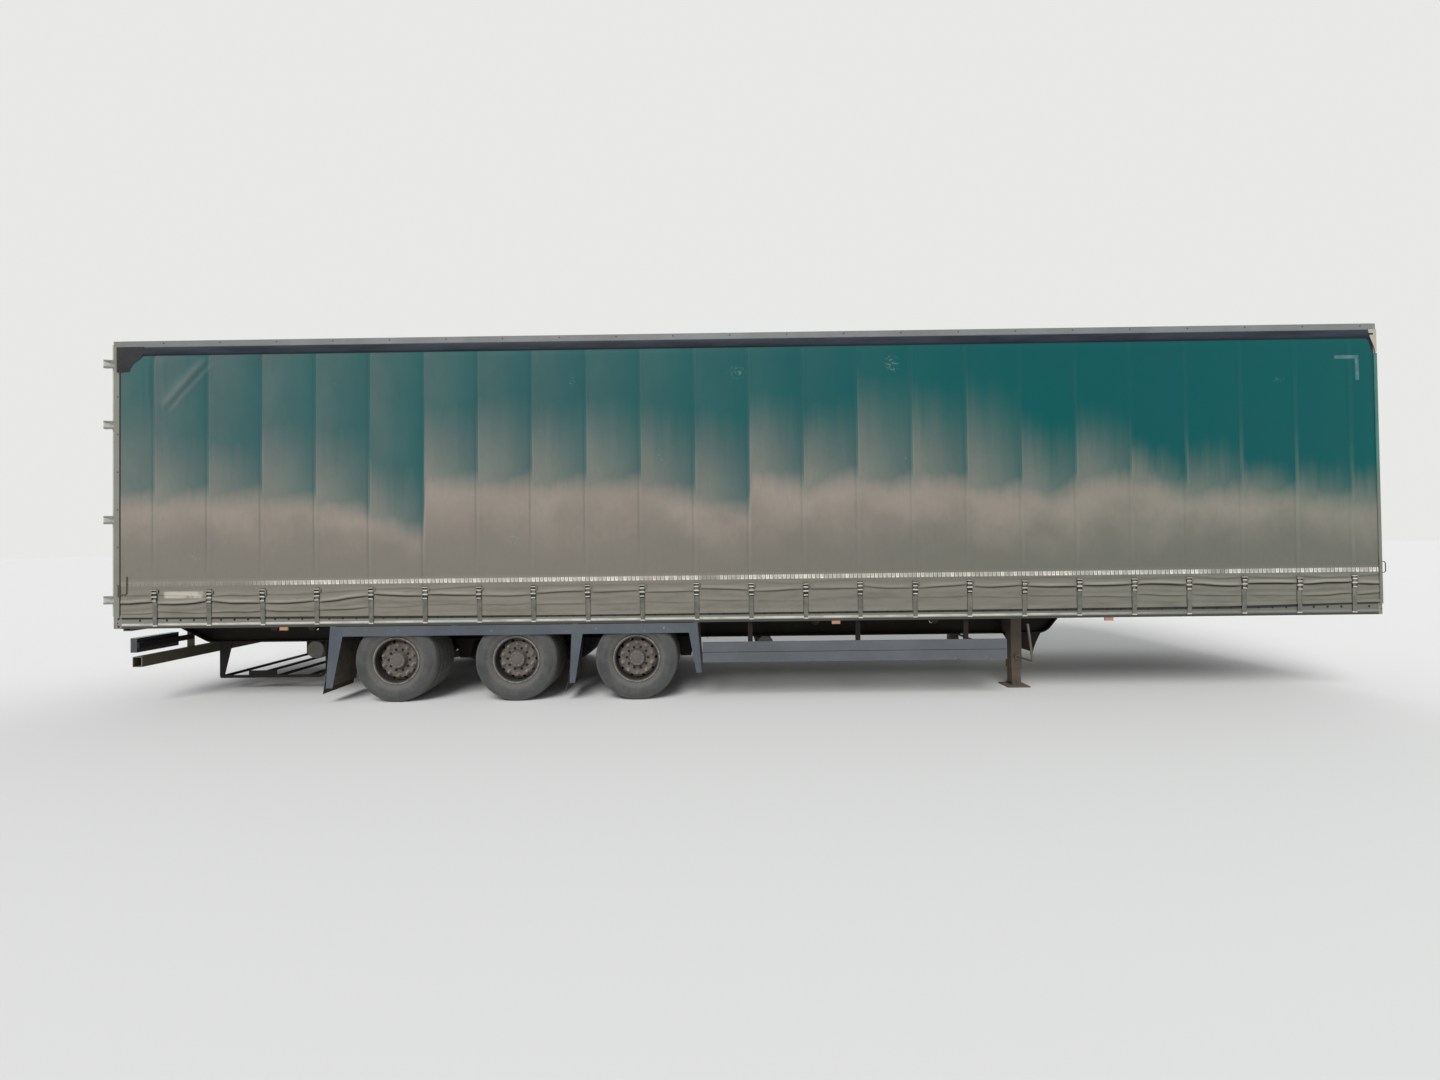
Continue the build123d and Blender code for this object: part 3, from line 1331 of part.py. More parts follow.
# Rear doors with strap hinges, and two lock bars on each
bar_ys = [330.0, 900.0]
bar_r = 13.5
bar_standoff = 18.0
bar_x = door_outer_x - bar_standoff
bar_top = 3962.0
bar_bottom = 936.0
guide_zs = [1100.0, 1900.0, 2750.0, 3600.0]
guide_w = 70.0
guide_h = 40.0
cam_w = 28.0
cam_h = 22.0
cam_frame_gap = 12.0
cam_front_x = rear_frame_x - cam_frame_gap
panel_recess = 4.0
panel_frame_w = 90.0
panel_split_z = 2400.0
handle_z = 1450.0
handle_l = 300.0
handle_h = 30.0
handle_t = 10.0
for side, side_name in sides:
    hinge_plane_y = side * hinge_y
    outer_y = side * (hinge_y - door_edge_gap)
    centre_y = side * door_centre_gap
    with BuildPart() as door:
        block((door_outer_x, door_inner_x), sorted((outer_y, centre_y)), (door_bottom, door_top))
        field_ys = sorted((outer_y - side * (panel_frame_w + strap_arm_reach), centre_y + side * panel_frame_w))
        for low, high in ((door_bottom, panel_split_z), (panel_split_z, door_top)):
            block(
                (door_outer_x, door_outer_x + panel_recess),
                field_ys,
                (low + panel_frame_w, high - panel_frame_w),
                Mode.SUBTRACT,
            )
        for z in hinge_zs:
            with BuildSketch(Plane.XY.offset(z - arm_h / 2)):
                with Locations((hinge_x, hinge_plane_y)):
                    Circle(knuckle_r)
                arm_mid_y = side * (hinge_y - door_edge_gap - strap_arm_reach / 2)
                with Locations((door_outer_x - strap_arm_t / 2, arm_mid_y)):
                    Rectangle(strap_arm_t, strap_arm_reach)
                make_hull()
            extrude(amount=arm_h)
            rod(
                (hinge_x, hinge_plane_y, z - arm_h / 2),
                (hinge_x, hinge_plane_y, z + arm_h / 2),
                hinge_pin_r + fit_gap,
                Mode.SUBTRACT,
            )
    save(door, f"door_{side_name}")

    with BuildPart() as lock_bars:
        for y in bar_ys:
            rod((bar_x, side * y, bar_bottom), (bar_x, side * y, bar_top), bar_r)
            for z in guide_zs:
                block(
                    (bar_x - bar_r, door_outer_x + panel_recess),
                    (side * y - guide_w / 2, side * y + guide_w / 2),
                    (z - guide_h / 2, z + guide_h / 2),
                )
            for low in (bar_bottom, bar_top - cam_h):
                block((bar_x, cam_front_x), (side * y - cam_w / 2, side * y + cam_w / 2), (low, low + cam_h))
            far_y = side * (y + handle_l)
            block(
                (bar_x - handle_t / 2, bar_x + handle_t / 2),
                sorted((side * y, far_y)),
                (handle_z - handle_h / 2, handle_z + handle_h / 2),
            )
    save(lock_bars, f"lock_bars_{side_name}")
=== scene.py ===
# %% [markdown]
# # Curtain-sided semi-trailer
# A long low steel frame on three axles carries a tall box whose sides are two hanging curtains.
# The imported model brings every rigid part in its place. This script dresses it: the curtains, the roof
# sheet, the straps and buckles, the tyres, the small fastenings, and a finish for every surface.

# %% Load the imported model
import math

import bpy
import numpy as np
from mathutils import Matrix, Vector


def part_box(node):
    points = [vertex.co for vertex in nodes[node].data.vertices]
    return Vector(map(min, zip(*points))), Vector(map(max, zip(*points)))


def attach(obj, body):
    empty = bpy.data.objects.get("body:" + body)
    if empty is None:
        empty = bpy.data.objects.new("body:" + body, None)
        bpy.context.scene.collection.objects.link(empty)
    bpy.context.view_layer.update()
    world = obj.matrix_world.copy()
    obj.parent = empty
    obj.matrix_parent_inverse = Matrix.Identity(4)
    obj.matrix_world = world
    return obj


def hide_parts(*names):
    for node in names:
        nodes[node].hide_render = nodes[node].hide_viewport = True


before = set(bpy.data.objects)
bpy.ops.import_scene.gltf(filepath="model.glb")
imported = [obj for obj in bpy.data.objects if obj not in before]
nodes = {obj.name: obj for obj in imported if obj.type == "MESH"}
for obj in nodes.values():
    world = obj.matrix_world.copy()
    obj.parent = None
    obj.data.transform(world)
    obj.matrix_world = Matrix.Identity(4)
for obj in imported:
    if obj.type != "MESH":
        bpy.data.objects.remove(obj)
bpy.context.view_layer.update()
# Columns: which way the side faces across the trailer, and its name
sides = ((-1, "right"), (1, "left"))

# %% [markdown]
# ## Camera
# The trailer is seen square on to its right side, from under six metres away, through a very wide lens.
# A camera could be aimed with a constraint, but three small angles and a place say it exactly.

# %% Place the camera
camera_place = Vector((-0.1897, -6.8669, 1.6598))
yaw, pitch, roll = 0.0050, 0.0108, -0.0125
level_right = Vector((math.cos(yaw), math.sin(yaw), 0))
ahead = Vector((-math.sin(yaw) * math.cos(pitch), math.cos(yaw) * math.cos(pitch), math.sin(pitch)))
level_up = level_right.cross(ahead)
right = math.cos(roll) * level_right + math.sin(roll) * level_up
up = math.cos(roll) * level_up - math.sin(roll) * level_right
camera_data = bpy.data.cameras.new("camera")
camera_data.sensor_width = 36.0
camera_data.lens = 13.0
camera_data.clip_end = 500.0
camera = bpy.data.objects.new("camera", camera_data)
camera.matrix_world = Matrix.Translation(camera_place) @ Matrix((right, up, -ahead)).transposed().to_4x4()
bpy.context.scene.collection.objects.link(camera)
bpy.context.scene.camera = camera
print("camera", [round(v, 3) for v in camera_place], "lens", camera_data.lens)

# %% [markdown]
# ## Shader nodes in few words
# Every finish below is a tree of shader nodes. Wiring them by hand takes four lines a node, so one helper
# makes a node and fills its sockets. What leaves a node is kept as a Wire, and a plus, minus or other sign
# between wires and numbers makes a Math node. Colours are red, green and blue, from 0 to 255.

# %% Nodes and wires
class Wire:
    """What leaves a node. A sign between it and a wire or a number makes a Math node."""

    def __init__(self, tree, socket):
        self.tree, self.socket = tree, socket

    def __add__(self, other):
        return calc("ADD", self, other)

    def __sub__(self, other):
        return calc("SUBTRACT", self, other)

    def __rsub__(self, other):
        return calc("SUBTRACT", other, self)

    def __mul__(self, other):
        return calc("MULTIPLY", self, other)

    def __truediv__(self, other):
        return calc("DIVIDE", self, other)

    def __pow__(self, other):
        return calc("POWER", self, other)

    def __abs__(self):
        return calc("ABSOLUTE", self)


def add(tree, kind, sockets=None, **options):
    node = tree.nodes.new("ShaderNode" + kind)
    for name, value in options.items():
        setattr(node, name, value)
    for key, value in (sockets or {}).items():
        if isinstance(value, Wire):
            tree.links.new(value.socket, node.inputs[key])
        else:
            node.inputs[key].default_value = value
    return node


def wire(tree, kind, output, sockets=None, **options):
    return Wire(tree, add(tree, kind, sockets, **options).outputs[output])


def calc(operation, *terms):
    tree = next(term.tree for term in terms if isinstance(term, Wire))
    return wire(tree, "Math", 0, dict(enumerate(terms)), operation=operation)


def highest(first, *others):
    for other in others:
        first = calc("MAXIMUM", first, other)
    return first


def ramp(value, low, high, start=0.0, end=1.0):
    sockets = {0: value, 1: low, 2: high, 3: start, 4: end}
    return wire(value.tree, "MapRange", 0, sockets, interpolation_type="SMOOTHSTEP")


def noise(place, scale, detail=4.0, rough=0.55, stretch=None):
    if stretch:
        place = wire(place.tree, "Mapping", 0, {"Vector": place, "Scale": stretch})
    sockets = {"Vector": place, "Scale": scale, "Detail": detail, "Roughness": rough}
    return wire(place.tree, "TexNoise", "Fac", sockets)


def bands(place, scale, direction, distortion=0.0):
    sockets = {"Vector": place, "Scale": scale, "Distortion": distortion}
    return wire(place.tree, "TexWave", "Fac", sockets, bands_direction=direction)


print("wires ready")

# %% Colours and finishes
def paint(red, green, blue):
    shades = [value / 255 for value in (red, green, blue)]
    linear = [v / 12.92 if v < 0.04045 else ((v + 0.055) / 1.055) ** 2.4 for v in shades]
    return (*linear, 1.0)


def mix(share, first, second):
    first, second = (paint(*c) if isinstance(c, tuple) else c for c in (first, second))
    return wire(share.tree, "Mix", 2, {0: share, 6: first, 7: second}, data_type="RGBA")


def layered(colour, *layers):
    """Lay each colour over what is there, by its own share."""
    for share, layer in layers:
        colour = mix(share, colour, layer)
    return colour


class Finish:
    """A material with one shader. What is the same all over is set on the shader's own sockets."""

    def __init__(self, name, **constants):
        self.material = bpy.data.materials.new(name)
        self.material.use_nodes = True
        self.tree = self.material.node_tree
        self.shader = next(n for n in self.tree.nodes if n.type == "BSDF_PRINCIPLED")
        for socket, value in constants.items():
            self.shader.inputs[socket.replace("_", " ")].default_value = value

    def places(self):
        """A point's place in the object's own metres: the whole of it, then along x, y and z."""
        place = wire(self.tree, "TexCoord", "Object")
        parts = add(self.tree, "SeparateXYZ", {0: place}).outputs
        return (place, *(Wire(self.tree, part) for part in parts))

    def stored(self, name):
        return wire(self.tree, "Attribute", "Fac", attribute_name=name)

    def coat(self, colour, rough):
        self.colour = colour
        self.tree.links.new(colour.socket, self.shader.inputs["Base Color"])
        self.tree.links.new(rough.socket, self.shader.inputs["Roughness"])

    def overlay(self, *layers):
        self.colour = layered(self.colour, *layers)
        self.tree.links.new(self.colour.socket, self.shader.inputs["Base Color"])

    def bump(self, height, depth, strength):
        relief = wire(self.tree, "Bump", 0, {"Height": height, "Distance": depth, "Strength": strength})
        self.tree.links.new(relief.socket, self.shader.inputs["Normal"])


print("finishes can be made")

# %% [markdown]
# ## Floor, background and lamps
# The stage is a plain pale floor under soft light. The background is bright only to camera, glossy and
# see-through rays, and a plain grey to the rest, so a pale surface keeps its colour instead of washing out.

# %% Build the stage
floor_mesh = bpy.data.meshes.new("floor")
reach = 300.0
corners = [(-reach, -reach, 0), (reach, -reach, 0), (reach, reach, 0), (-reach, reach, 0)]
floor_mesh.from_pydata(corners, [], [(0, 1, 2, 3)])
floor = bpy.data.objects.new("floor", floor_mesh)
bpy.context.scene.collection.objects.link(floor)
floor_mesh.materials.append(Finish("floor_paper", Base_Color=paint(226, 226, 224), Roughness=0.9).material)

world = bpy.data.worlds.new("studio")
bpy.context.scene.world = world
world.use_nodes = True
tree = world.node_tree
tree.nodes.clear()
rays = add(tree, "LightPath").outputs
seen = highest(*(Wire(tree, rays[f"Is {kind} Ray"]) for kind in ("Camera", "Glossy", "Transmission")))
ambient = wire(tree, "Background", 0, {"Color": (0.94, 0.97, 1.0, 1.0), "Strength": 0.42})
backdrop = wire(tree, "Background", 0, {"Color": (0.81, 0.81, 0.80, 1.0), "Strength": 1.0})
add(tree, "OutputWorld", {"Surface": wire(tree, "MixShader", 0, {0: seen, 1: ambient, 2: backdrop})})

# Columns: name, strength, softness in degrees, and which way the light goes
lamps = (("key_lamp", 2.2, 35.0, (0.25, 1.0, -1.15)), ("fill_lamp", 0.6, 60.0, (-0.6, -0.8, -0.9)))
for name, strength, softness, direction in lamps:
    lamp = bpy.data.lights.new(name, "SUN")
    lamp.energy = strength
    lamp.angle = math.radians(softness)
    holder = bpy.data.objects.new(name, lamp)
    holder.rotation_euler = Vector(direction).to_track_quat("-Z", "Y").to_euler()
    bpy.context.scene.collection.objects.link(holder)
bpy.context.scene.view_settings.view_transform = "Standard"
print("stage ready with", len(lamps), "lamps")

# %% [markdown]
# ## Meshes from numbers
# Cloth, webbing and tyres are all rows of points, so two helpers serve for all of them. One turns a grid of
# points into a sheet or a tube, and one turns a half-section round the wheel's axis, as a lathe does.

# %% Mesh helpers
def piece(name, points, faces, finish, body, slot, replaced=(), place=(0, 0, 0), sharp=35.0):
    mesh = bpy.data.meshes.new(name)
    mesh.from_pydata([tuple(map(float, p)) for p in points], [], faces)
    mesh.update()
    mesh.shade_smooth()
    mesh.set_sharp_from_angle(angle=math.radians(sharp))
    mesh.materials.append(finish.material)
    made = bpy.data.objects.new(name, mesh)
    made.location = place
    bpy.context.scene.collection.objects.link(made)
    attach(made, body)
    if replaced:
        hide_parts(*replaced)
    print(name, len(mesh.vertices), "points")
    return made


def grid_faces(rows, columns, first=0, wrap_rows=False, wrap_columns=False, flip=False):
    faces = []
    for i in range(rows if wrap_rows else rows - 1):
        for j in range(columns if wrap_columns else columns - 1):
            a, b = i * columns + j, i * columns + (j + 1) % columns
            c, d = ((i + 1) % rows) * columns + (j + 1) % columns, ((i + 1) % rows) * columns + j
            quad = (a, b, c, d) if not flip else (d, c, b, a)
            faces.append(tuple(first + q for q in quad))
    return faces


def lathe(profile, segments, side, centre=(0.0, 0.0, 0.0), phase=0.0):
    """Points of a half-section turned round the Y axis: each (out, radius) pair makes a ring."""
    points = []
    for out, radius in profile:
        for k in range(segments):
            turn = phase + 2 * math.pi * k / segments
            across, height = radius * math.cos(turn), radius * math.sin(turn)
            points.append((centre[0] + across, centre[1] + side * out, centre[2] + height))
    return points


class Batch:
    """Many small like forms gathered into one mesh."""

    def __init__(self):
        self.points, self.faces = [], []

    def grid(self, points, rows, columns, **wrap):
        self.faces += grid_faces(rows, columns, first=len(self.points), **wrap)
        self.points += points

    def turned(self, profile, segments, side, centre, phase=0.0):
        points = lathe(profile, segments, side, centre, phase)
        self.grid(points, len(profile), segments, wrap_columns=True, flip=side > 0)

    def box(self, corner, opposite):
        """A box between two opposite corners, given in any order."""
        start = len(self.points)
        xs, ys, zs = (sorted(pair) for pair in zip(corner, opposite))
        self.points += [(x, y, z) for x in xs for y in ys for z in zs]
        for quad in ((0, 1, 3, 2), (4, 6, 7, 5), (0, 4, 5, 1), (2, 3, 7, 6), (0, 2, 6, 4), (1, 5, 7, 3)):
            self.faces.append(tuple(start + q for q in quad))

    def made(self, name, finish, body, slot, replaced=(), **options):
        return piece(name, self.points, self.faces, finish, body, slot, replaced, **options)


def eased(value, low, high):
    share = np.clip((value - low) / (high - low), 0.0, 1.0)
    return share * share * (3 - 2 * share)


def waves(x, z, wide, tall, seed):
    """Smooth random swells, wide by tall metres, between -1 and 1."""
    knots = np.random.default_rng(seed).uniform(-1, 1, (64, 64))
    u, v = (x + 8.0) / wide, z / tall
    i, j = np.floor(u).astype(int) % 63, np.floor(v).astype(int) % 63
    s, t = eased(u - np.floor(u), 0, 1), eased(v - np.floor(v), 0, 1)
    low = knots[i, j] * (1 - s) + knots[i + 1, j] * s
    high = knots[i, j + 1] * (1 - s) + knots[i + 1, j + 1] * s
    return low * (1 - t) + high * t


print("mesh helpers ready")

# %% [markdown]
# ## The curtain's cloth
# Each side is closed by one sheet of coated polyester, hung from rollers inside the roof rail and pulled
# down by straps. Webbing is sewn up the inside above each strap. A cloth simulation would have to be
# tensioned at 23 straps for a few millimetres of relief, so the relief is written as a depth for each
# point: seams, slow swells, sharp folds between the straps, and the creases of the rear top corner.

# %% Lay out the curtain
curtain_rear, curtain_front = -6.718, 6.828
curtain_low, curtain_high = 0.940, 3.895
curtain_y = 1.2598
strap_first, strap_pitch, strap_count = -6.338, 0.5863, 23
strap_xs = strap_first + strap_pitch * np.arange(strap_count)
seam_half = 0.0225
band_low = 3.802
cloth_seeds = {"right": 11, "left": 47}

near_strap = (0.014, 0.0225, 0.029, 0.045, 0.075, 0.12, 0.17, 0.225, 0.27)
column_xs = {curtain_rear, curtain_front, *strap_xs, *np.arange(-6.54, -5.62, 0.016)}
for strap_x in strap_xs:
    column_xs |= {strap_x + side * step for side in (-1, 1) for step in near_strap}
column_xs = sorted(x for x in column_xs if curtain_rear <= x <= curtain_front)
column_xs = np.array([a for a, b in zip(column_xs, column_xs[1:]) if b - a > 0.003] + [curtain_front])
row_zs = np.concatenate([
    np.arange(curtain_low, 1.25, 0.0042),
    np.arange(1.25, 1.33, 0.010),
    np.arange(1.33, 3.10, 0.045),
    np.arange(3.10, band_low - 0.01, 0.020),
    np.linspace(band_low - 0.008, curtain_high, 14),
])
print("curtain grid", len(column_xs), "by", len(row_zs))

# %% Measure across a panel
def hump(value, middle, width):
    """A round rise, one high at its middle."""
    return np.exp(-((value - middle) / width) ** 2)


def panel_at(x):
    """The number of the panel between two straps, and the share of it that lies behind x."""
    u = (x - strap_first) / strap_pitch
    return np.floor(u), u - np.floor(u)


def from_strap(x):
    u = (x - strap_first) / strap_pitch
    return np.abs(u - np.clip(np.round(u), 0, strap_count - 1)) * strap_pitch


print("panels between straps:", strap_count - 1)

# %% Write the curtain's relief
def folds(x, z, seed):
    """Folds where slack cloth sags between two straps, painted shade under each and a painted highlight on its
    lip.
    """
    rng = np.random.default_rng(seed)
    panel, share = panel_at(x)
    index = np.clip(panel.astype(int) + 1, 0, strap_count)
    between = np.sin(np.pi * share) ** 0.22
    main = np.interp(x, (-6.7, -5.0, -3.9, 2.5, 4.5, 6.8), (1.115, 1.120, 1.165, 1.200, 1.190, 1.180))
    slack_xs = (-6.7, -5.0, -3.5, -1.0, 2.0, 3.6, 5.0, 6.8)
    slack = np.interp(x, slack_xs, (1.0, 1.0, 0.75, 0.45, 0.45, 0.85, 1.0, 1.1))

    def by_panel(least, most):
        return rng.uniform(least, most, strap_count + 1)[index]

    depth, crease_shade, painted_highlight = np.zeros_like(x), np.zeros_like(x), np.zeros_like(x)
    # Columns: height above the main fold, how far it stands out, and the least size in any panel
    for above, reach, least in ((0.0, 0.021, 0.8), (0.075, 0.006, 0.3), (-0.115, 0.010, 0.3)):
        middle = main + above + by_panel(-0.010, 0.010)
        middle = middle + 0.009 * slack * waves(x, z, 0.19, 0.6, seed + int(1000 * reach))
        slope = by_panel(-0.030, 0.030)
        sag = by_panel(-0.006, 0.014)
        size = reach * slack * by_panel(least, 1.15)
        over = z - (middle + slope * (share - 0.5) - sag * np.sin(np.pi * share))
        lip = np.where(over > 0, hump(over, 0.0, 0.034), eased(over, -0.009, 0.0))
        depth += size * between * (lip + 0.55 * hump(over, -0.060, 0.030))
        # Painted shade along the line under the fold, and a painted highlight on the lip above it
        crease_shade = np.maximum(crease_shade, size / 0.019 * between ** 0.5 * hump(over, -0.010, 0.0075))
        painted_highlight = np.maximum(painted_highlight, size / 0.019 * between ** 2 * hump(over, 0.018, 0.013))
    low_end = eased(z, 0.965, 1.0)
    return depth * low_end, crease_shade * low_end, painted_highlight * low_end


def hem_shift(x):
    """The hem hangs a little low at mid length and rises at both ends."""
    return np.interp(x, (-6.8, -4.5, -2.0, 5.2, 6.9), (0.020, 0.010, -0.006, 0.004, 0.034))


def seam_lift(x, z):
    ridge = 1 - eased(from_strap(x), seam_half - 0.003, seam_half + 0.005)
    return 0.0024 * ridge * eased(z, 1.27, 1.34) * (1 - eased(z, band_low - 0.03, band_low))


def swell_depth(x, z, seed):
    share = panel_at(x)[1]
    hung = np.sin(np.pi * np.clip((z - curtain_low) / (curtain_high - curtain_low), 0, 1)) ** 0.6
    belly = 0.0055 * (0.5 - 0.5 * np.cos(2 * np.pi * share)) * hung
    slow = 0.006 * (waves(x, z, 1.9, 1.3, seed) + 1) * hung
    ripple = 0.0016 * (waves(x, z, 0.21, 2.4, seed + 1) + 1) * hung
    pull = 0.0035 * np.cos(2 * np.pi * (x - strap_first) / (strap_pitch / 3)) * hump(z, 1.30, 0.16)
    return belly + slow + ripple + np.maximum(pull, 0) * eased(z, 1.27, 1.33)


def corner_creases(x, z):
    """The rear top corner: short pleats under the cap and one long diagonal fold beside them."""
    pleats = 0.009 * (0.5 + 0.5 * np.cos(2 * np.pi * (x + 6.40 + 0.05 * (z - 3.4)) / 0.085))
    pleats *= eased(x, -6.52, -6.44) * (1 - eased(x, -6.24, -6.12))
    pleats *= eased(z, 3.02, 3.30) * (1 - eased(z, 3.66, 3.80))
    fold_x, fold_z, run, rise = x + 6.21, z - 3.26, 0.43, 0.48
    slant = 0.644
    along = (fold_x * run + fold_z * rise) / slant
    across = (fold_x * rise - fold_z * run) / slant
    held = eased(along, -0.10, 0.06) * (1 - eased(along, 0.52, 0.72))
    ridge = np.where(across < 0, hump(across, 0.0, 0.085), hump(across, 0.0, 0.018))
    second = 0.5 * hump(across, 0.075, 0.03)
    turns = (z + 0.10 * (x + 6.7)) / 0.088
    rolled = 0.0030 * (0.5 + 0.5 * np.sin(2 * np.pi * turns + 2.5 * waves(x, z, 0.5, 0.4, 5)))
    rolled *= (1 - eased(x, -6.66, -6.42)) * eased(z, 1.45, 1.7) * (1 - eased(z, 2.7, 3.0))
    # Painted shade along the diagonal fold, and painted highlights on both sides of it
    fold_shade = 0.20 * held * hump(across, 0.030, 0.014)
    painted_highlight = held * (0.30 * hump(across, -0.020, 0.045) + 0.22 * hump(across, 0.078, 0.020))
    return pleats + 0.016 * held * (ridge + second) + rolled, fold_shade, painted_highlight


def curtain_relief(x, z, seed):
    """How far the cloth stands out, the painted shade in its creases and the painted highlight on its lips."""
    fold, crease_shade, painted_highlight = folds(x, z, seed + 2)
    corner, corner_shade, corner_highlight = corner_creases(x, z)
    depth = swell_depth(x, z, seed) * (0.3 + 0.7 * eased(z, 1.0, 1.6)) + seam_lift(x, z) + fold + corner
    held = 1 - 0.92 * hump(from_strap(x), 0.0, 0.036) * (1 - eased(z, 1.28, 1.42))
    edge = eased(x, curtain_rear, curtain_rear + 0.10) * (1 - eased(x, curtain_front - 0.10, curtain_front))
    hem = 0.010 * (1 - eased(z, 0.945, 0.985)) * (0.75 + 0.25 * waves(x, z, 0.3, 9.0, seed + 3))
    depth = (depth * (0.15 + 0.85 * edge) + hem) * held
    band = 0.006 * np.sin(np.pi * np.clip((z - band_low) / (curtain_high - band_low), 0, 1)) ** 0.5
    depth = depth * (1 - eased(z, band_low - 0.05, band_low))
    below_band = z < band_low
    crease_shade = np.maximum(crease_shade * held, corner_shade) * below_band
    painted_highlight = np.maximum(painted_highlight * held, corner_highlight) * below_band
    return np.where(below_band, depth, band), crease_shade, painted_highlight


sample_x, sample_z = np.meshgrid(column_xs, row_zs)
sample, _, _ = curtain_relief(sample_x, sample_z, cloth_seeds["right"])
lowest_mm, highest_mm = (round(float(depth) * 1000, 1) for depth in (sample.min(), sample.max()))
print("curtain relief, mm: lowest", lowest_mm, "highest", highest_mm)

# %% [markdown]
# ## The curtain's finish
# The coating is teal green. Road dust has climbed it from below to a soft crest that drops towards two
# seams and starts again above them. A thinner haze reaches higher, strongest just ahead of each seam. The
# crest is drawn once as a row of heights and stored on the mesh, so the nodes need no image and no long sums.

# %% Draw the dust on the cloth
# Columns: place along the curtain and height of the dust crest, in metres, read one by one
crest_line = np.array([
    (-6.72, 2.23), (-5.20, 2.21), (-4.60, 2.17), (-4.00, 2.04), (-3.70, 1.91), (-3.42, 1.80), (-3.39, 2.43),
    (-2.82, 2.33), (-1.60, 2.31), (-1.06, 2.28), (-0.57, 2.17), (0.10, 1.98), (0.13, 2.42), (0.73, 2.27),
    (1.17, 2.36), (1.66, 2.25), (1.96, 2.33), (2.54, 2.22), (3.13, 2.20), (3.37, 2.09), (3.81, 2.31),
    (4.40, 2.25), (4.89, 2.09), (5.09, 2.16), (5.58, 2.12), (6.07, 2.04), (6.83, 1.98),
])


def within(value, low, high, soft=0.004):
    return ramp(value, low - soft, low + soft) * ramp(value, high - soft, high + soft, 1.0, 0.0)


def chance_in(cells):
    """One random number for each whole cell."""
    return wire(cells.tree, "TexWhiteNoise", 0, {"W": calc("FLOOR", cells)}, noise_dimensions="1D")


def dust_on_cloth(cloth, place, x, z, panel, share):
    """How thick the dust lies, how far the point is above the crest, and the clouds in the dust."""
    streak = noise(place, 9.0, 5.0, 0.6, (1.0, 1.0, 0.07)) - 0.5
    cloud = noise(place, 1.6) - 0.5
    above = z - (cloth.stored("crest") + (cloud * 0.22 + streak * 0.14))
    settled = ramp(above, -0.14, 0.32, 1.0, 0.0)
    lee = (1.0 - share) ** 0.8
    reach = ramp(x, 1.5, 5.5, 1.25, 0.55) * (chance_in(panel) * 0.4 + 0.8)
    haze = ramp((streak * 0.5 + above) / reach, -0.1, 1.0, 0.72, 0.0) * (lee * 0.70 + 0.30)
    patchy = ramp(noise(place, 2.4, 5.0, 0.6, (1.0, 1.0, 0.25)), 0.2, 0.8, 0.6, 1.1)
    veil = ramp(x, -6.7, 3.5, 0.30, 0.0) * (lee * 0.8 + 0.2) * patchy
    rear_edge = ramp(x, -6.7, -5.6, 0.42, 0.0) * ramp(z, 2.5, 3.6, 1.0, 0.25)
    return highest(settled, haze, veil, rear_edge), above, cloud


print("dust crest drawn through", len(crest_line), "heights")

# %% Colour the cloth, its seams and its low band
def dusty_teal(place, x, z, dust, above, cloud):
    teal = mix(ramp(x, -5.5, 5.0), (26, 88, 90), (2, 84, 84))
    teal = mix(ramp(noise(place, 0.8, 3.0), 0.35, 0.65, 0.0, 0.35), teal, (22, 78, 84))
    brown = mix(ramp(above, -0.75, -0.05), (134, 126, 117), (152, 142, 132))
    brown = mix(ramp(cloud, -0.12, 0.14, 0.0, 0.4), brown, (130, 123, 114))
    brown = mix(ramp(x, 1.0, 6.0, 0.0, 0.7), brown, (134, 133, 121))
    olive = mix(ramp(x, -3.0, 5.0), (128, 122, 113), (112, 112, 103))
    dirt = mix(ramp(cloud * -0.9 + z, 1.50, 2.10, 1.0, 0.0), brown, olive)
    grain = noise(place, 26.0, 6.0, 0.65, (1.0, 1.0, 0.4))
    return mix(dust * ramp(grain, 0.15, 0.65, 0.90, 1.0), teal, dirt)


def curtain_cloth():
    cloth = Finish("curtain_cloth", Specular_IOR_Level=0.12)
    place, x, _, z = cloth.places()
    panel = (x - strap_first) / strap_pitch
    share = calc("FRACT", panel)
    dust, above, cloud = dust_on_cloth(cloth, place, x, z, panel, share)

    from_seam = abs(share - calc("ROUND", share)) * strap_pitch
    ridge = ramp(from_seam, 0.012, 0.026, 0.24, 0.0) * ramp(above, 0.15, 0.95, 1.0, 0.12)
    ridge = ridge * ramp(noise(place, 2.0, 3.0, 0.5, (1.0, 1.0, 0.5)), 0.3, 0.7) * ramp(above, -1.0, -0.3)
    before_seam = (1.0 - share) * strap_pitch
    shadow = ramp(before_seam, 0.018, 0.026) * ramp(before_seam, 0.026, 0.060, 1.0, 0.0)
    shadow = shadow * ramp(x, -5.0, 5.0, 0.30, 0.10) * ramp(above, -1.0, -0.2)
    low = ramp(z, 1.20, 1.32, 1.0, 0.0)
    grime = low * ramp(noise(place, 9.0, 5.0, 0.6, (0.35, 1.0, 1.6)), 0.40, 0.72)
    # Painted highlight on the fold lips and painted shade in the creases, both read from the mesh
    lip_highlight = calc("MINIMUM", cloth.stored("painted_highlight"), 1.0)
    crease_shade_share = calc("MINIMUM", cloth.stored("crease_shade"), 0.9)
    # Painted shadow in a thin line beside each strap
    strap_edge_shadow = within(from_seam, 0.021, 0.029, 0.003) * ramp(z, 1.25, 1.27, 0.6, 0.0)
    colour = layered(
        dusty_teal(place, x, z, dust, above, cloud), (ridge, (136, 140, 130)), (shadow, (52, 72, 68)),
        (low * 0.50, (135, 131, 120)), (grime * 0.40, (92, 90, 80)), (lip_highlight * 0.42, (174, 171, 158)),
        (crease_shade_share, (36, 35, 30)), (strap_edge_shadow, (40, 39, 34)))
    return cloth, place, x, z, colour, dust


print("recipe for the dusty cloth ready")

# %% Add dashes, marks, scuffs and the dark band
def distance(across, height):
    return (across ** 2.0 + height ** 2.0) ** 0.5


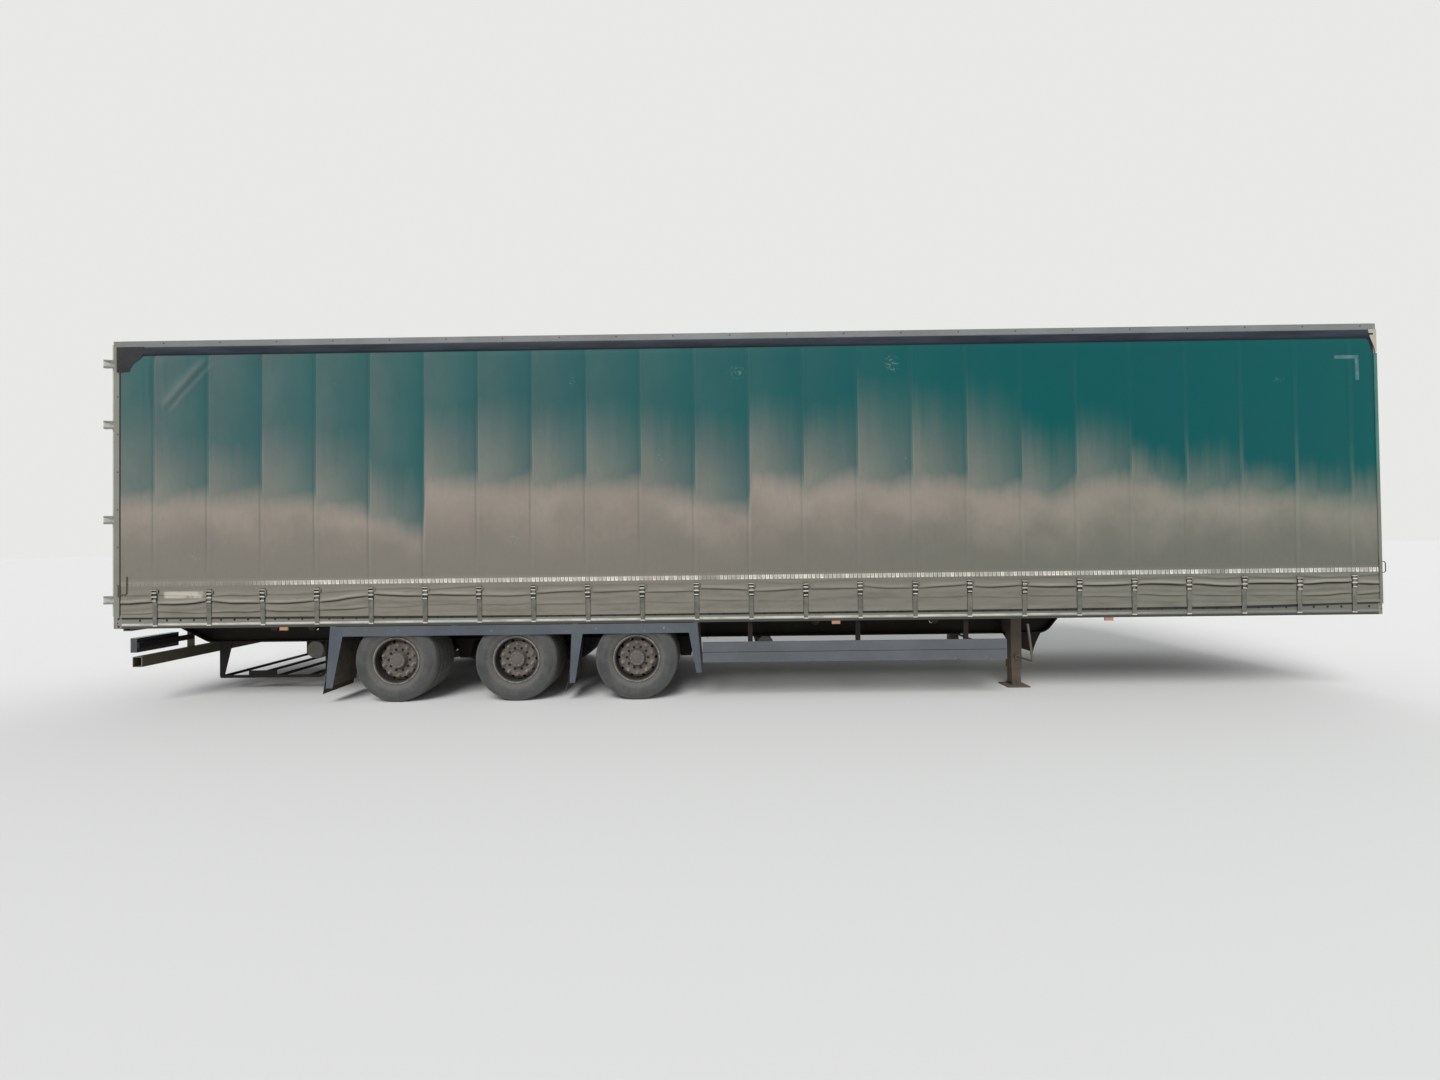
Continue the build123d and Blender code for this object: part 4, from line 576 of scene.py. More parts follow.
def scuff(place, x, z, spot_x, spot_z, wide, tall):
    """A rubbed spot made of short broken strokes."""
    away = distance((x - spot_x) / wide, (z - spot_z) / tall)
    strokes = ramp(noise(place, 26.0, 3.0, 0.7, (1.0, 1.0, 1.8)), 0.53, 0.60)
    return strokes * ramp(away, 0.4, 1.1, 1.0, 0.0)


def sewn_dashes(place, x, z, worn):
    """The row of pale dashes above the low band, some of them rubbed thin."""
    cell = x / (strap_pitch / 13)
    beat = calc("FRACT", cell)
    heart = within(beat, 0.24, 0.58, 0.06) * within(z, 1.312, 1.345, 0.008)
    dashes = ramp(beat, 0.74, 0.80, 1.0, 0.0) * within(z, 1.296, 1.341) * (heart * -0.5 + 1.0)
    dashes = dashes * ramp(chance_in(cell), 0.0, 1.0, 0.55, 1.0)
    dashes = dashes * ramp(noise(place, 1.7, 2.0, 0.5, (1.0, 1.0, 0.01)), 0.30, 0.42, 0.25, 1.0)
    return dashes * ramp(x, -5.4, -4.7, 0.12, 1.0) * ramp(worn, 0.30, 0.58, 0.55, 1.0)


def dark_stripe(place, z):
    stripe = ramp(noise(place, 5.0, 4.0, 0.6, (0.3, 1.0, 2.0)), 0.3, 0.7)
    return layered(mix(stripe, (36, 40, 48), (52, 57, 66)), (ramp(z, 3.80, 3.835, 0.75, 0.0), (20, 22, 27)))


def finished_curtain():
    cloth, place, x, z, colour, dust = curtain_cloth()
    worn = noise(place, 14.0, 4.0, 0.7)
    bar = within(x, 6.41, 6.665) * within(z, 3.585, 3.622)
    stem = within(x, 6.628, 6.665) * within(z, 3.355, 3.622)
    mark = highest(bar, stem) * ramp(worn, 0.25, 0.70, 0.25, 0.75)
    patch = within(x, -6.24, -5.82, 0.02) * within(z, 1.165, 1.235, 0.012)
    patch = patch * ramp(worn, 0.36, 0.50, 0.35, 0.85)
    colour = layered(
        colour, (sewn_dashes(place, x, z, worn), (236, 231, 219)), (mark, (112, 138, 140)),
        (patch, (196, 188, 176)), *[(scuff(place, x, z, *spot) * 0.45, (136, 148, 142)) for spot in scuffs])

    front = ramp(x, 6.74, 6.83)
    edge = front * front * -0.17 + band_low
    colour = mix(ramp(z - edge, -0.004, 0.004), colour, dark_stripe(place, z))
    cloth.coat(colour, ramp(dust, 0.0, 1.0, 0.52, 0.85))
    creases = noise(place, 16.0, 6.0, 0.62, (1.0, 1.0, 0.35))
    cloth.bump(bands(place, 160.0, "Z", 0.4) * 0.06 + creases, 0.0022, 0.45)
    return cloth


# Columns: place along and up the curtain, half width and half height, in metres
scuffs = (
    (-0.02, 3.53, 0.11, 0.08), (1.66, 3.60, 0.10, 0.10), (-1.80, 3.46, 0.03, 0.09), (-5.90, 1.62, 0.09, 0.06),
    (-2.45, 1.75, 0.12, 0.09), (-4.36, 3.46, 0.02, 0.02), (0.74, 2.50, 0.02, 0.07), (1.79, 2.56, 0.02, 0.04),
    (-0.85, 2.62, 0.05, 0.05), (5.80, 3.37, 0.07, 0.03),
)
curtain_finish = finished_curtain()
print("curtain finish has", len(curtain_finish.tree.nodes), "nodes")

# %% Hang both curtains
for side, side_name in sides:
    depth, crease_shade, painted_highlight = curtain_relief(sample_x, sample_z, cloth_seeds[side_name])
    crest_x = sample_x if side < 0 else strap_xs[0] + strap_xs[-1] - sample_x
    crest = np.interp(crest_x, *crest_line.T)
    ys = side * (curtain_y + depth)
    zs = sample_z + hem_shift(sample_x) * (1 - eased(sample_z, curtain_low, curtain_low + 0.12))
    points = np.stack([sample_x, ys, zs], axis=-1).reshape(-1, 3)
    faces = grid_faces(len(row_zs), len(column_xs), flip=side > 0)
    node = f"curtain_{side_name}"
    curtain = piece(f"{node}_cloth", points, faces, curtain_finish, "chassis", "curtain_tarpaulin", (node,),
                    sharp=180)
    for name, values in (("crease_shade", crease_shade), ("painted_highlight", painted_highlight), ("crest", crest)):
        stored = curtain.data.attributes.new(name, "FLOAT", "POINT")
        stored.data.foreach_set("value", values.ravel().astype(np.float32))

# %% [markdown]
# ## A finish for painted and plated metal
# Almost everything else is metal with paint or zinc on it, under road dust. One recipe fits all of it, with
# other numbers: paint that varies a little, dust that settles on faces that look up and clings low
# down, chips that show rust or primer, and a fine bump. The recipe takes named values, one row a finish.

# %% The recipe for weathered paint and metal
def weathered(name, coat, shade, dust=(122, 112, 98), chip=(92, 62, 44), rough=0.55, metal=0.0, cling=0.35,
              settle=0.55, spray=0.4, chips=0.10, grain=22.0, spin=False, gloss=0.5):
    finish = Finish(name, Metallic=metal, Specular_IOR_Level=gloss)
    place, _, _, height = finish.places()
    broad = noise(place, grain * 0.12)
    fine = noise(place, grain, 6.0, 0.65)
    colour = mix(ramp(broad, 0.3, 0.7), coat, shade)
    clinging = ramp(broad, 0.25, 0.75, 0.4, 1.0) * cling * ramp(fine, 0.25, 0.65, 0.45, 1.2)
    if not spin:
        normal = wire(finish.tree, "NewGeometry", "Normal")
        settled = ramp(wire(finish.tree, "SeparateXYZ", 2, {0: normal}), 0.35, 0.95) * settle
        sprayed = ramp(height, 0.15, 1.25, 1.0, 0.0) * spray
        clinging = clinging + (settled + sprayed * fine)
    clinging = calc("MINIMUM", clinging, 0.95)
    if chips:
        spots = ramp(noise(place, grain * 0.8, 8.0, 0.72), 0.68 - 0.12 * chips, 0.73 - 0.12 * chips)
        colour = mix(spots * ramp(broad, 0.42, 0.62), colour, chip)
    finish.coat(mix(clinging, colour, dust), ramp(clinging, 0.0, 0.9, rough, 0.9))
    finish.bump(fine, 0.0012, 0.5)
    return finish


print("recipe for weathered paint and metal ready")

# %% [markdown]
# ## Straps and buckles
# Each strap is flat webbing sewn to the curtain. It runs down over an over-centre buckle and hooks under the
# side rail. The webbing is modelled as a thin band that follows the cloth, because a band that stands off
# the curtain throws a thin dark line on each side. The cloth's finish deepens those lines with painted shadow.

# %% Weave the straps
def webbing():
    strap = Finish("strap_webbing", Sheen_Weight=0.15)
    place = strap.places()[0]
    ribs, picks = bands(place, 95.0, "X"), bands(place, 140.0, "Z")
    dirt = noise(place, 12.0, 5.0, 0.6)
    colour = mix(ramp(dirt, 0.3, 0.7), (92, 93, 84), (124, 123, 111))
    strap.coat(mix(ribs * 0.25, colour, (66, 67, 60)), ramp(dirt, 0.2, 0.8, 0.75, 0.92))
    strap.bump(ribs + picks, 0.0006, 0.8)
    return strap


webbing_finish = webbing()
strap_t, strap_half = 0.0026, 0.0225
strap_foot_z, strap_top_z = 0.870, 1.262
strap_zs = np.linspace(strap_foot_z, strap_top_z, 34)
strap_edges = ((-strap_half, 0.0), (-strap_half, strap_t), (0.0, strap_t + 0.0004), (strap_half, strap_t),
               (strap_half, 0.0))
for side, side_name in sides:
    seed = cloth_seeds[side_name]
    rng = np.random.default_rng(seed)
    straps = Batch()
    for strap_x in strap_xs:
        lean, twist = rng.uniform(-0.003, 0.003), rng.uniform(-1.0, 1.0)
        points = []
        for z in strap_zs:
            near = np.array([strap_x - 0.02, strap_x, strap_x + 0.02])
            lift = float(np.max(curtain_relief(near, np.full(3, z), seed)[0])) if z > curtain_low else 0.0
            loose = 0.0014 * (1 + math.sin(29 * z + 4 * twist)) * (1 - eased(z, 1.06, 1.12))
            stand = curtain_y + 0.0014 + max(lift, 0.0) + float(loose)
            slide = lean * (1.27 - z) / 0.4
            points += [(strap_x + slide + across, side * (stand + off), z) for across, off in strap_edges]
        straps.grid(points, len(strap_zs), len(strap_edges), wrap_columns=True, flip=side < 0)
    straps.made(f"straps_{side_name}", webbing_finish, "chassis", "strap_webbing", ("curtain_straps",),
                sharp=50)

# %% [markdown]
# ## Over-centre buckles
# A buckle is a pressed plate between two cheeks, crossed by four rounded bars: the hinge, the webbing bar,
# the lever and its lip. The plate is near black, as painted shade for the gaps between the bars. The bars
# catch the light, and from a step away they read as bright rungs.
# The strap's spare end is tucked beside it as a small dark loop. Bars are short lathes squeezed flat.

# %% Build the buckles
bright_zinc = weathered("buckle_zinc", (212, 208, 196), (184, 180, 168), rough=0.42, spray=0.05, settle=0.1,
                        cling=0.15, grain=60.0, chips=0.2)
dark_steel = weathered("dark_steel", (30, 29, 27), (42, 39, 35), rough=0.6, spray=0.1, settle=0.2,
                       cling=0.15, chips=0.0, gloss=0.3)
# Columns: height of the bar, half its thickness, half its width, in metres
buckle_bars = ((1.246, 0.0050, 0.0290), (1.214, 0.0075, 0.0250), (1.172, 0.0080, 0.0280),
               (1.128, 0.0065, 0.0235))
buckle_back, bar_half_depth, cheek_t, cheek_deep = 1.2650, 0.0046, 0.003, 0.0085
plate_half, plate_low, plate_high = 0.024, 1.108, 1.256
cheek_low, cheek_high = 1.118, 1.254
hook_low, hook_high, hook_back, hook_front = 0.862, 0.876, 1.2590, 1.2668
tail_top, tail_width = 1.250, 0.024
buckle_seeds = {"right": 31, "left": 67}
for side, side_name in sides:
    rng = np.random.default_rng(buckle_seeds[side_name])
    bars, shade_plates, loops = Batch(), Batch(), Batch()
    for strap_x in strap_xs:
        drop, middle = rng.uniform(-0.012, 0.010), strap_x + rng.uniform(-0.006, 0.004)
        # The plate is near black: painted shade for the gaps between the bars
        shade_plates.box((middle - plate_half, side * (buckle_back - 0.003), plate_low + drop),
                   (middle + plate_half, side * (buckle_back + 0.001), plate_high + drop))
        for edge in (-0.0255, 0.0225):
            shade_plates.box((middle + edge, side * buckle_back, cheek_low + drop),
                       (middle + edge + cheek_t, side * (buckle_back + cheek_deep), cheek_high + drop))
        for height, tall, wide in buckle_bars:
            tilt = rng.uniform(-0.0015, 0.0015)
            ring = [(middle + along, side * (buckle_back + bar_half_depth * (1 + r * math.cos(t))),
                     height + drop + tilt * along / wide + tall * r * math.sin(t))
                    for along, r in ((-wide, 0.0), (-wide, 1.0), (wide, 1.0), (wide, 0.0))
                    for t in np.linspace(0, 2 * math.pi, 11)[:-1]]
            bars.grid(ring, 4, 10, wrap_columns=True, flip=side < 0)
        bars.box((strap_x - plate_half, side * hook_back, hook_low),
                 (strap_x + plate_half, side * hook_front, hook_high))
        tail, reach = [], rng.uniform(0.045, 0.075)
        for t in np.linspace(0, 1, 9):
            out = buckle_back - 0.0005 + 0.0080 * math.sin(math.pi * t)
            tail += [(middle + 0.022 + across, side * out, tail_top + drop - reach * t)
                     for across in (0.0, tail_width / 2, tail_width)]
        loops.grid(tail, 9, 3)
    bars.made(f"buckle_bars_{side_name}", bright_zinc, "chassis", "buckle_steel", ("strap_buckles",),
              sharp=40)
    shade_plates.made(f"buckle_shade_plates_{side_name}", dark_steel, "chassis", "buckle_steel")
    loops.made(f"strap_ends_{side_name}", webbing_finish, "chassis", "strap_webbing", sharp=60)

# %% [markdown]
# ## Tyres
# The tyres are low and wide, with a plain sidewall, a bead ring against the rim, a rounded shoulder and a
# ribbed tread. All of that is the same all the way round, so one half-section turned on a lathe makes it.

# %% Draw the tyre's section
wheel_y, axle_z = 1.02, 0.448
axle_xs = {"rear": -3.76, "middle": -2.45, "front": -1.14}
wheels = [(f"{axle}_{side_name}", side, (axle_x, side * wheel_y, axle_z))
          for axle, axle_x in axle_xs.items() for side, side_name in sides]
# Columns: distance out from the wheel's middle and radius, from the bead to the shoulder
flank = [
    (0.1815, 0.2370), (0.1817, 0.2555), (0.1850, 0.2590), (0.1885, 0.2640), (0.1890, 0.2680),
    (0.1915, 0.2705), (0.2010, 0.2850), (0.2100, 0.3030), (0.2170, 0.3220), (0.2210, 0.3400),
    (0.2220, 0.3560), (0.2205, 0.3740), (0.2195, 0.3800), (0.2203, 0.3825), (0.2190, 0.3850),
    (0.2165, 0.3960), (0.2135, 0.4060), (0.2095, 0.4150), (0.2098, 0.4172), (0.2050, 0.4250),
    (0.1980, 0.4335), (0.1890, 0.4405), (0.1790, 0.4450), (0.1660, 0.4470),
]
tread_r, groove_r = 0.4478, 0.4360
groove = [(0.0070, tread_r), (0.0050, groove_r), (-0.0050, groove_r), (-0.0070, tread_r)]
half_section = flank + [(groove_o + step, r) for groove_o in (0.118, 0.040) for step, r in groove]
section = half_section + [(-o, r) for o, r in reversed(half_section)] + [(-0.165, 0.2370), (0.165, 0.2370)]
print("tyre section has", len(section), "points")

# %% Turn the tyres
def tyre_rubber():
    rubber = Finish("tyre_rubber")
    place, x, y, z = rubber.places()
    radius = distance(x, z)
    dusty, fine = noise(place, 5.0, 6.0, 0.65), noise(place, 60.0, 5.0, 0.7)
    near_rim = within(radius, 0.262, 0.312, 0.016) * ramp(fine, 0.2, 0.6, 0.15, 0.45)
    shoulder = ramp(radius, 0.412, 0.440) * ramp(fine, 0.3, 0.7, 0.2, 0.7)
    line = highest(within(radius, 0.402, 0.405, 0.002), within(radius, 0.378, 0.381, 0.002))
    # Painted shade in the bottoms of the tread grooves
    groove_shade = within(radius, 0.430, 0.4445, 0.002) * within(abs(y), 0.0, 0.155)
    colour = layered(
        mix(ramp(dusty, 0.3, 0.7), (62, 63, 64), (88, 88, 87)), (near_rim, (116, 112, 105)),
        (shoulder, (108, 106, 101)), (line * 0.55, (46, 47, 49)), (groove_shade, (34, 33, 32)))
    rubber.coat(colour, ramp(dusty, 0.2, 0.8, 0.70, 0.92))
    sipes = calc("PINGPONG", calc("ARCTAN2", x, z) * 26.0, 0.5)
    sipes = ramp(sipes, 0.0, 0.06) * ramp(radius, 0.405, 0.425)
    rings = bands(wire(rubber.tree, "CombineXYZ", 0, {0: radius}), 55.0, "X") * within(radius, 0.385, 0.412)
    rubber.bump(fine * 0.15 + rings * 0.35 + sipes, 0.0022, 0.7)
    return rubber


tyre_finish = tyre_rubber()
tyre_segments = 120
for wheel, side, place in wheels:
    points = lathe(section, tyre_segments, side)
    faces = grid_faces(len(section), tyre_segments, wrap_rows=True, wrap_columns=True, flip=side > 0)
    piece(f"tyre_{wheel}_ribbed", points, faces, tyre_finish, f"wheel_{wheel}", "tyre_rubber",
          (f"tyre_{wheel}",), place)

# %% [markdown]
# ## Finishes for the imported slots
# Each imported node names a slot, such as frame steel or white aluminium, and every slot gets one row here: its
# clean paint, its second shade, its dust and its chips. The colours were judged one by one. Where the photo
# shows a surface well, they were then tuned until a patch of it had nearly the same mean tone in a render.

# %% Metal and plastic finishes
finishes = {
    "frame_steel": weathered("chassis_paint", (19, 18, 17), (30, 27, 25), dust=(60, 53, 46), cling=0.2,
                             settle=0.5, spray=0.12, gloss=0.15),
    "grey_steel": weathered("grey_frame_paint", (134, 136, 131), (118, 121, 117), dust=(134, 127, 115),
                            chips=0.25),
    "bare_steel": weathered("worn_zinc", (112, 110, 104), (94, 90, 84), metal=0.5, rough=0.5, chips=0.3),
    "deck_plywood": weathered("deck_plywood", (104, 78, 54), (88, 66, 46), rough=0.6, chips=0.05),
    "white_aluminium": weathered("white_panel_paint", (196, 197, 190), (180, 182, 176), dust=(140, 134, 121),
                                 chip=(112, 104, 93), rough=0.42, cling=0.25, spray=0.3, chips=0.05),
    "bare_aluminium": weathered("mill_aluminium", (158, 160, 158), (140, 143, 143), metal=0.55, rough=0.42,
                                chips=0.0),
    "cast_iron": weathered("cast_iron", (50, 43, 37), (66, 54, 44), dust=(90, 79, 66), rough=0.7, grain=40.0,
                           chips=0.4),
    "black_rubber": weathered("moulded_rubber", (28, 28, 28), (40, 39, 37), dust=(82, 75, 66), rough=0.7,
                              chips=0.0),
    "buckle_steel": dark_steel,
    "tank_paint": weathered("tank_paint", (118, 120, 114), (100, 102, 97), dust=(104, 93, 79), chips=0.2),
}
print(len(finishes), "weathered finishes")

# %% [markdown]
# ## Finishes that differ by piece
# Some nodes share a slot but not a look: the guard planks are paler than the mudguards, and the legs are
# rusty. These get their own row. Lamp lenses are moulded plastic, bright under a film of dust.

# %% Lenses and single pieces
def lens(name, colour, film_low=0.10, film_high=0.55):
    finish = Finish(name, Coat_Weight=0.5, Coat_Roughness=0.15, Specular_IOR_Level=0.5)
    place = finish.places()[0]
    film = ramp(noise(place, 18.0, 5.0, 0.6), 0.3, 0.75, film_low, film_high)
    finish.coat(mix(film, colour, (150, 134, 118)), ramp(film, 0.0, 0.6, 0.22, 0.6))
    finish.bump(bands(place, 60.0, "DIAGONAL"), 0.0015, 0.6)
    return finish


finishes["lamp_red"] = lens("red_lens", (150, 20, 18))
finishes["lamp_amber"] = lens("amber_lens", (206, 122, 60), 0.30, 0.75)
special = {
    "mudguards": weathered("mudguard_paint", (63, 70, 83), (77, 84, 95), dust=(106, 107, 105),
                           chip=(160, 163, 164), rough=0.5, cling=0.22, settle=0.3, spray=0.25,
                           chips=0.5, grain=14.0),
    "mudguard_panels": weathered("black_plastic_panels", (32, 33, 35), (46, 45, 43), rough=0.6, cling=0.4,
                                 chips=0.0),
    "guard_planks": weathered("plank_aluminium", (92, 98, 106), (76, 82, 90), dust=(112, 110, 104),
                              metal=0.15,
                              rough=0.5, cling=0.2, spray=0.2, chips=0.4, chip=(150, 152, 152), grain=16.0),
    "leg_tubes": weathered("leg_steel", (70, 66, 60), (84, 68, 52), chip=(98, 60, 38), dust=(96, 87, 76),
                           chips=0.8),
    "leg_feet": weathered("foot_steel", (66, 60, 54), (88, 66, 48), chip=(96, 58, 38), dust=(100, 90, 78),
                          cling=0.5, chips=0.8),
    "leg_drive": weathered("crank_steel", (106, 102, 94), (86, 80, 72), metal=0.3, cling=0.3, chips=0.4),
    "underrun_bar": weathered("underrun_paint", (58, 54, 45), (72, 66, 54), dust=(92, 84, 70), cling=0.3,
                              chips=0.5),
    "curtain_tensioners": weathered("tensioner_steel", (50, 50, 47), (66, 64, 58), dust=(88, 84, 74),
                                    chips=0.4),
    "roof_rails": weathered("roof_rail_paint", (126, 129, 131), (113, 116, 118), dust=(116, 113, 104),
                            chip=(84, 80, 75), rough=0.45, cling=0.3, settle=0.2, spray=0.0, chips=0.15),
}
print(len(special), "finishes for single pieces")

# %% [markdown]
# ## Finishes with places in them
# The side rail has a painted highlight along its lower lip, painted shade below the lip and a black painted
# shadow under the hem. The rims have painted shade in their black well and a rubbed flange, the front corner
# caps are cream, and the rear post has two round holes, painted dark as shade. All of these depend on where a
# point lies, so each lays another colour over its finish wherever a mask of the point's place is white.

# %% Side rail and rims
rail = weathered("side_rail_paint", (118, 120, 111), (104, 106, 98), dust=(128, 123, 111), chip=(84, 75, 65),
                 chips=0.35)
place, x, y, z = rail.places()
outer = ramp(abs(y), 1.2570, 1.2575)
worn = ramp(noise(place, 8.0, 5.0, 0.65, (0.4, 1.0, 1.0)), 0.30, 0.60, 0.35, 1.0)
hem = ramp(x, -6.7, -3.0, 0.957, 0.934) + ramp(x, 5.2, 6.9, 0.0, 0.036)
rail.overlay(
    (ramp(x, 1.5, 4.5, 0.0, 0.65) * outer, (92, 94, 88)),
    # Painted highlight along the rail's lower lip, broken up in places
    (within(z, 0.871, 0.893) * outer * worn * ramp(x, 2.5, 5.0, 0.95, 0.15), (206, 203, 193)),
    (within(x, -3.30, -2.80, 0.10) * within(z, 0.872, 0.915, 0.01) * worn * outer * 0.45, (118, 150, 138)),
    # Painted shadow: a black line under the hem
    (ramp(hem - z, 0.016, 0.024, 0.96, 0.0) * outer, (18, 17, 15)),
    # Painted shade on the whole rail below its lower lip
    (ramp(z, 0.860, 0.866, 0.85, 0.0), (42, 40, 37)))

rim = weathered("rim_paint", (94, 87, 80), (78, 72, 66), dust=(112, 105, 97), chip=(56, 44, 37), cling=0.55,
                grain=34.0, chips=0.6, spin=True)
place, x, y, z = rim.places()
front_x, half_gap = axle_xs["front"], (axle_xs["front"] - axle_xs["middle"]) / 2
radius = distance(calc("WRAP", x, front_x + half_gap, front_x - half_gap) - front_x, z - axle_z)
grain = ramp(noise(place, 40.0, 5.0, 0.7), 0.35, 0.62)
rim.overlay(
    # Painted shade: a black ring in the well between the disc and the flange
    (within(radius, 0.215, 0.2375, 0.003) * 0.85, (24, 22, 21)),
    (ramp(radius, 0.2385, 0.2415) * 0.8, (92, 91, 87)),
    (within(radius, 0.2470, 0.2525, 0.0015) * grain, (172, 167, 158)),
    (within(radius, 0.0905, 0.0985, 0.002) * 0.7, (34, 30, 27)),
    (within(radius, 0.148, 0.187, 0.006) * grain * 0.35, (128, 121, 111)))
print("places written into the side rail and the rims")

# %% Posts, caps, tail lamps and the underrun bar's ends
def spot(across, height, radius):
    away = across ** 2.0 + height ** 2.0
    return ramp(away, (0.85 * radius) ** 2, (1.15 * radius) ** 2, 1.0, 0.0)


post = weathered("post_paint", (130, 131, 123), (117, 119, 112), dust=(128, 122, 110), chip=(74, 65, 57),
                 chips=0.35)
place, x, y, z = post.places()
# Two holes, painted as dark spots of shade
hole_shades = [spot(x + 6.746, z - hole_z, 0.0135) for hole_z in (0.945, 0.862)]
post.overlay((ramp(x, 6.882, 6.885, 0.0, 0.7), (178, 180, 172)), *[(hole, (26, 24, 22)) for hole in hole_shades])

caps = weathered("cap_plastic", (18, 20, 24), (28, 31, 36), rough=0.5, cling=0.08, settle=0.2, chips=0.0,
                 gloss=0.25)
caps.overlay((ramp(caps.places()[1], -0.1, 0.1), (176, 172, 158)))

lamps_and_cases = lens("red_lens_in_case", (150, 20, 18))
x = lamps_and_cases.places()[1]
lamps_and_cases.overlay(
    (ramp(x, -6.6575, -6.6545), (34, 39, 47)), (within(x, -6.535, -6.500), (120, 124, 128)))

bar_end_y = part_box("underrun_bar")[1].y
pale_end = ramp(abs(special["underrun_bar"].places()[2]), bar_end_y - 0.012, bar_end_y - 0.004, 0.0, 0.85)
special["underrun_bar"].overlay((pale_end, (146, 143, 128)))

special |= {"side_rails": rail, "corner_posts": post, "corner_caps": caps, "tail_lamps": lamps_and_cases}
finishes |= {"rim_paint": rim, "cap_plastic": caps}
print("finishes for single pieces, with these:", len(special))

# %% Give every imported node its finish
roof_finish = Finish("roof_cloth", Sheen_Weight=0.05)
place, x, y, z = roof_finish.places()
soil = noise(place, 2.6, 7.0, 0.68, (0.6, 1.0, 1.0))
runs = noise(place, 7.0, 5.0, 0.6, (1.0, 0.12, 1.0))
colour = layered(
    mix(ramp(soil, 0.30, 0.75, 0.0, 0.7), (200, 204, 198), (170, 171, 162)),
    (ramp(runs, 0.48, 0.75, 0.0, 0.45), (150, 147, 136)),
    (ramp(abs(y), 1.05, 1.24, 0.0, 0.4), (140, 137, 126)))
roof_finish.coat(colour, ramp(soil, 0.3, 0.8, 0.5, 0.8))
roof_finish.bump(noise(place, 30.0, 5.0), 0.0015, 0.5)

finishes |= {"tyre_rubber": tyre_finish, "strap_webbing": webbing_finish, "curtain_tarpaulin": curtain_finish,
             "roof_tarpaulin": roof_finish}
for name, node in nodes.items():
    for index, old in enumerate(node.data.materials):
        slot_name = old.name.split(".")[0]
        node.material_slots[index].material = (special.get(name) or finishes[slot_name]).material
print(len(nodes), "nodes finished")

# %% [markdown]
# ## The curtain's two poles
# The cloth is wound on an upright pole at each end, and the pole is hooked beside the corner post. At the
# rear a dark strip of steel shows. At the front the cloth goes round the pole, clean and green at the top and
# dusty below, so that pole is a slim lathe in a sleeve of curtain cloth.

# %% Stand the curtain poles
sleeve_cloth = weathered("pole_sleeve", (44, 108, 100), (58, 122, 112), dust=(120, 122, 112), rough=0.6,
                         cling=0.3, chips=0.0)
sleeve_cloth.overlay((ramp(sleeve_cloth.places()[3], 1.9, 2.6, 0.9, 0.0), (122, 119, 108)))
pole_low_z, pole_top_z, pole_inner_y = 0.955, 3.640, 1.2535
# Columns: name, place along the trailer, half its width, half its depth, finish, slot
curtain_poles = (("rear", curtain_rear - 0.007, 0.0065, 0.0065, dark_steel, "bare_steel"),
                 ("front", curtain_front + 0.018, 0.0170, 0.0105, sleeve_cloth, "curtain_tarpaulin"))
rings = ((pole_low_z, 0.0), (pole_low_z, 1.0), (pole_top_z, 1.0), (pole_top_z, 0.0))
for side, side_name in sides:
    for end, pole_x, half_wide, half_deep, finish, slot in curtain_poles:
        pole = Batch()
        points = [(pole_x + half_wide * r * math.cos(t),
                   side * (pole_inner_y + half_deep * (1 + r * math.sin(t))), z)
                  for z, r in rings for t in np.linspace(0, 2 * math.pi, 13)[:-1]]
        pole.grid(points, 4, 12, wrap_columns=True, flip=side < 0)
        pole.made(f"curtain_pole_{end}_{side_name}", finish, "chassis", slot, sharp=40)

# %% [markdown]
# ## The roof sheet
# The roof is one sheet of pale coated cloth over the bows. Between two bows it sags a little, and rain and
# soot gather there. It is a grid again, with its height written as a curve that lies three millimetres above
# every bow.

# %% Stretch the roof sheet
roof_low, roof_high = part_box("roof_sheet")
bow_low, bow_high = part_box("roof_bows")
bow_xs = np.linspace(bow_low.x + 0.02, bow_high.x - 0.02, 21)
roof_xs = np.linspace(roof_low.x, roof_high.x, 241)
roof_ys = np.linspace(roof_low.y, roof_high.y, 41)
grid_x, grid_y = np.meshgrid(roof_xs, roof_ys)
nearest = np.min(np.abs(grid_x[..., None] - bow_xs), axis=-1)
half_gap = (bow_xs[1] - bow_xs[0]) / 2
from_edge = roof_high.y - np.abs(grid_y)
crown = 0.010 * (1 - (grid_y / roof_high.y) ** 2)
sag = 0.011 * eased(nearest, 0.02, half_gap) * eased(from_edge, 0.0, 0.25)
rumple = 0.002 * (waves(grid_x, grid_y + 2.0, 0.35, 0.5, 8) - 1) * eased(nearest, 0.0, half_gap)
roof_z = roof_low.z + 0.003 + crown - sag + rumple * eased(from_edge, 0.0, 0.2)
points = np.stack([grid_x, grid_y, roof_z], axis=-1).reshape(-1, 3)
faces = grid_faces(len(roof_ys), len(roof_xs))
roof = piece("roof_cloth", points, faces, roof_finish, "chassis", "roof_tarpaulin", ("roof_sheet",),
             sharp=180)

# %% [markdown]
# ## Wheel nuts
# Ten nuts hold each rim to its hub, each a hexagon on a round flange with the stud's end standing out. A
# hexagon is a lathe with six steps, so the same helper makes the nut, its flange and the stud.

# %% Screw on the nuts
nut_finish = weathered("nut_steel", (150, 142, 130), (120, 108, 95), dust=(128, 120, 109), chip=(80, 58, 44),
                       metal=0.2, grain=70.0, chips=0.6, spin=True)
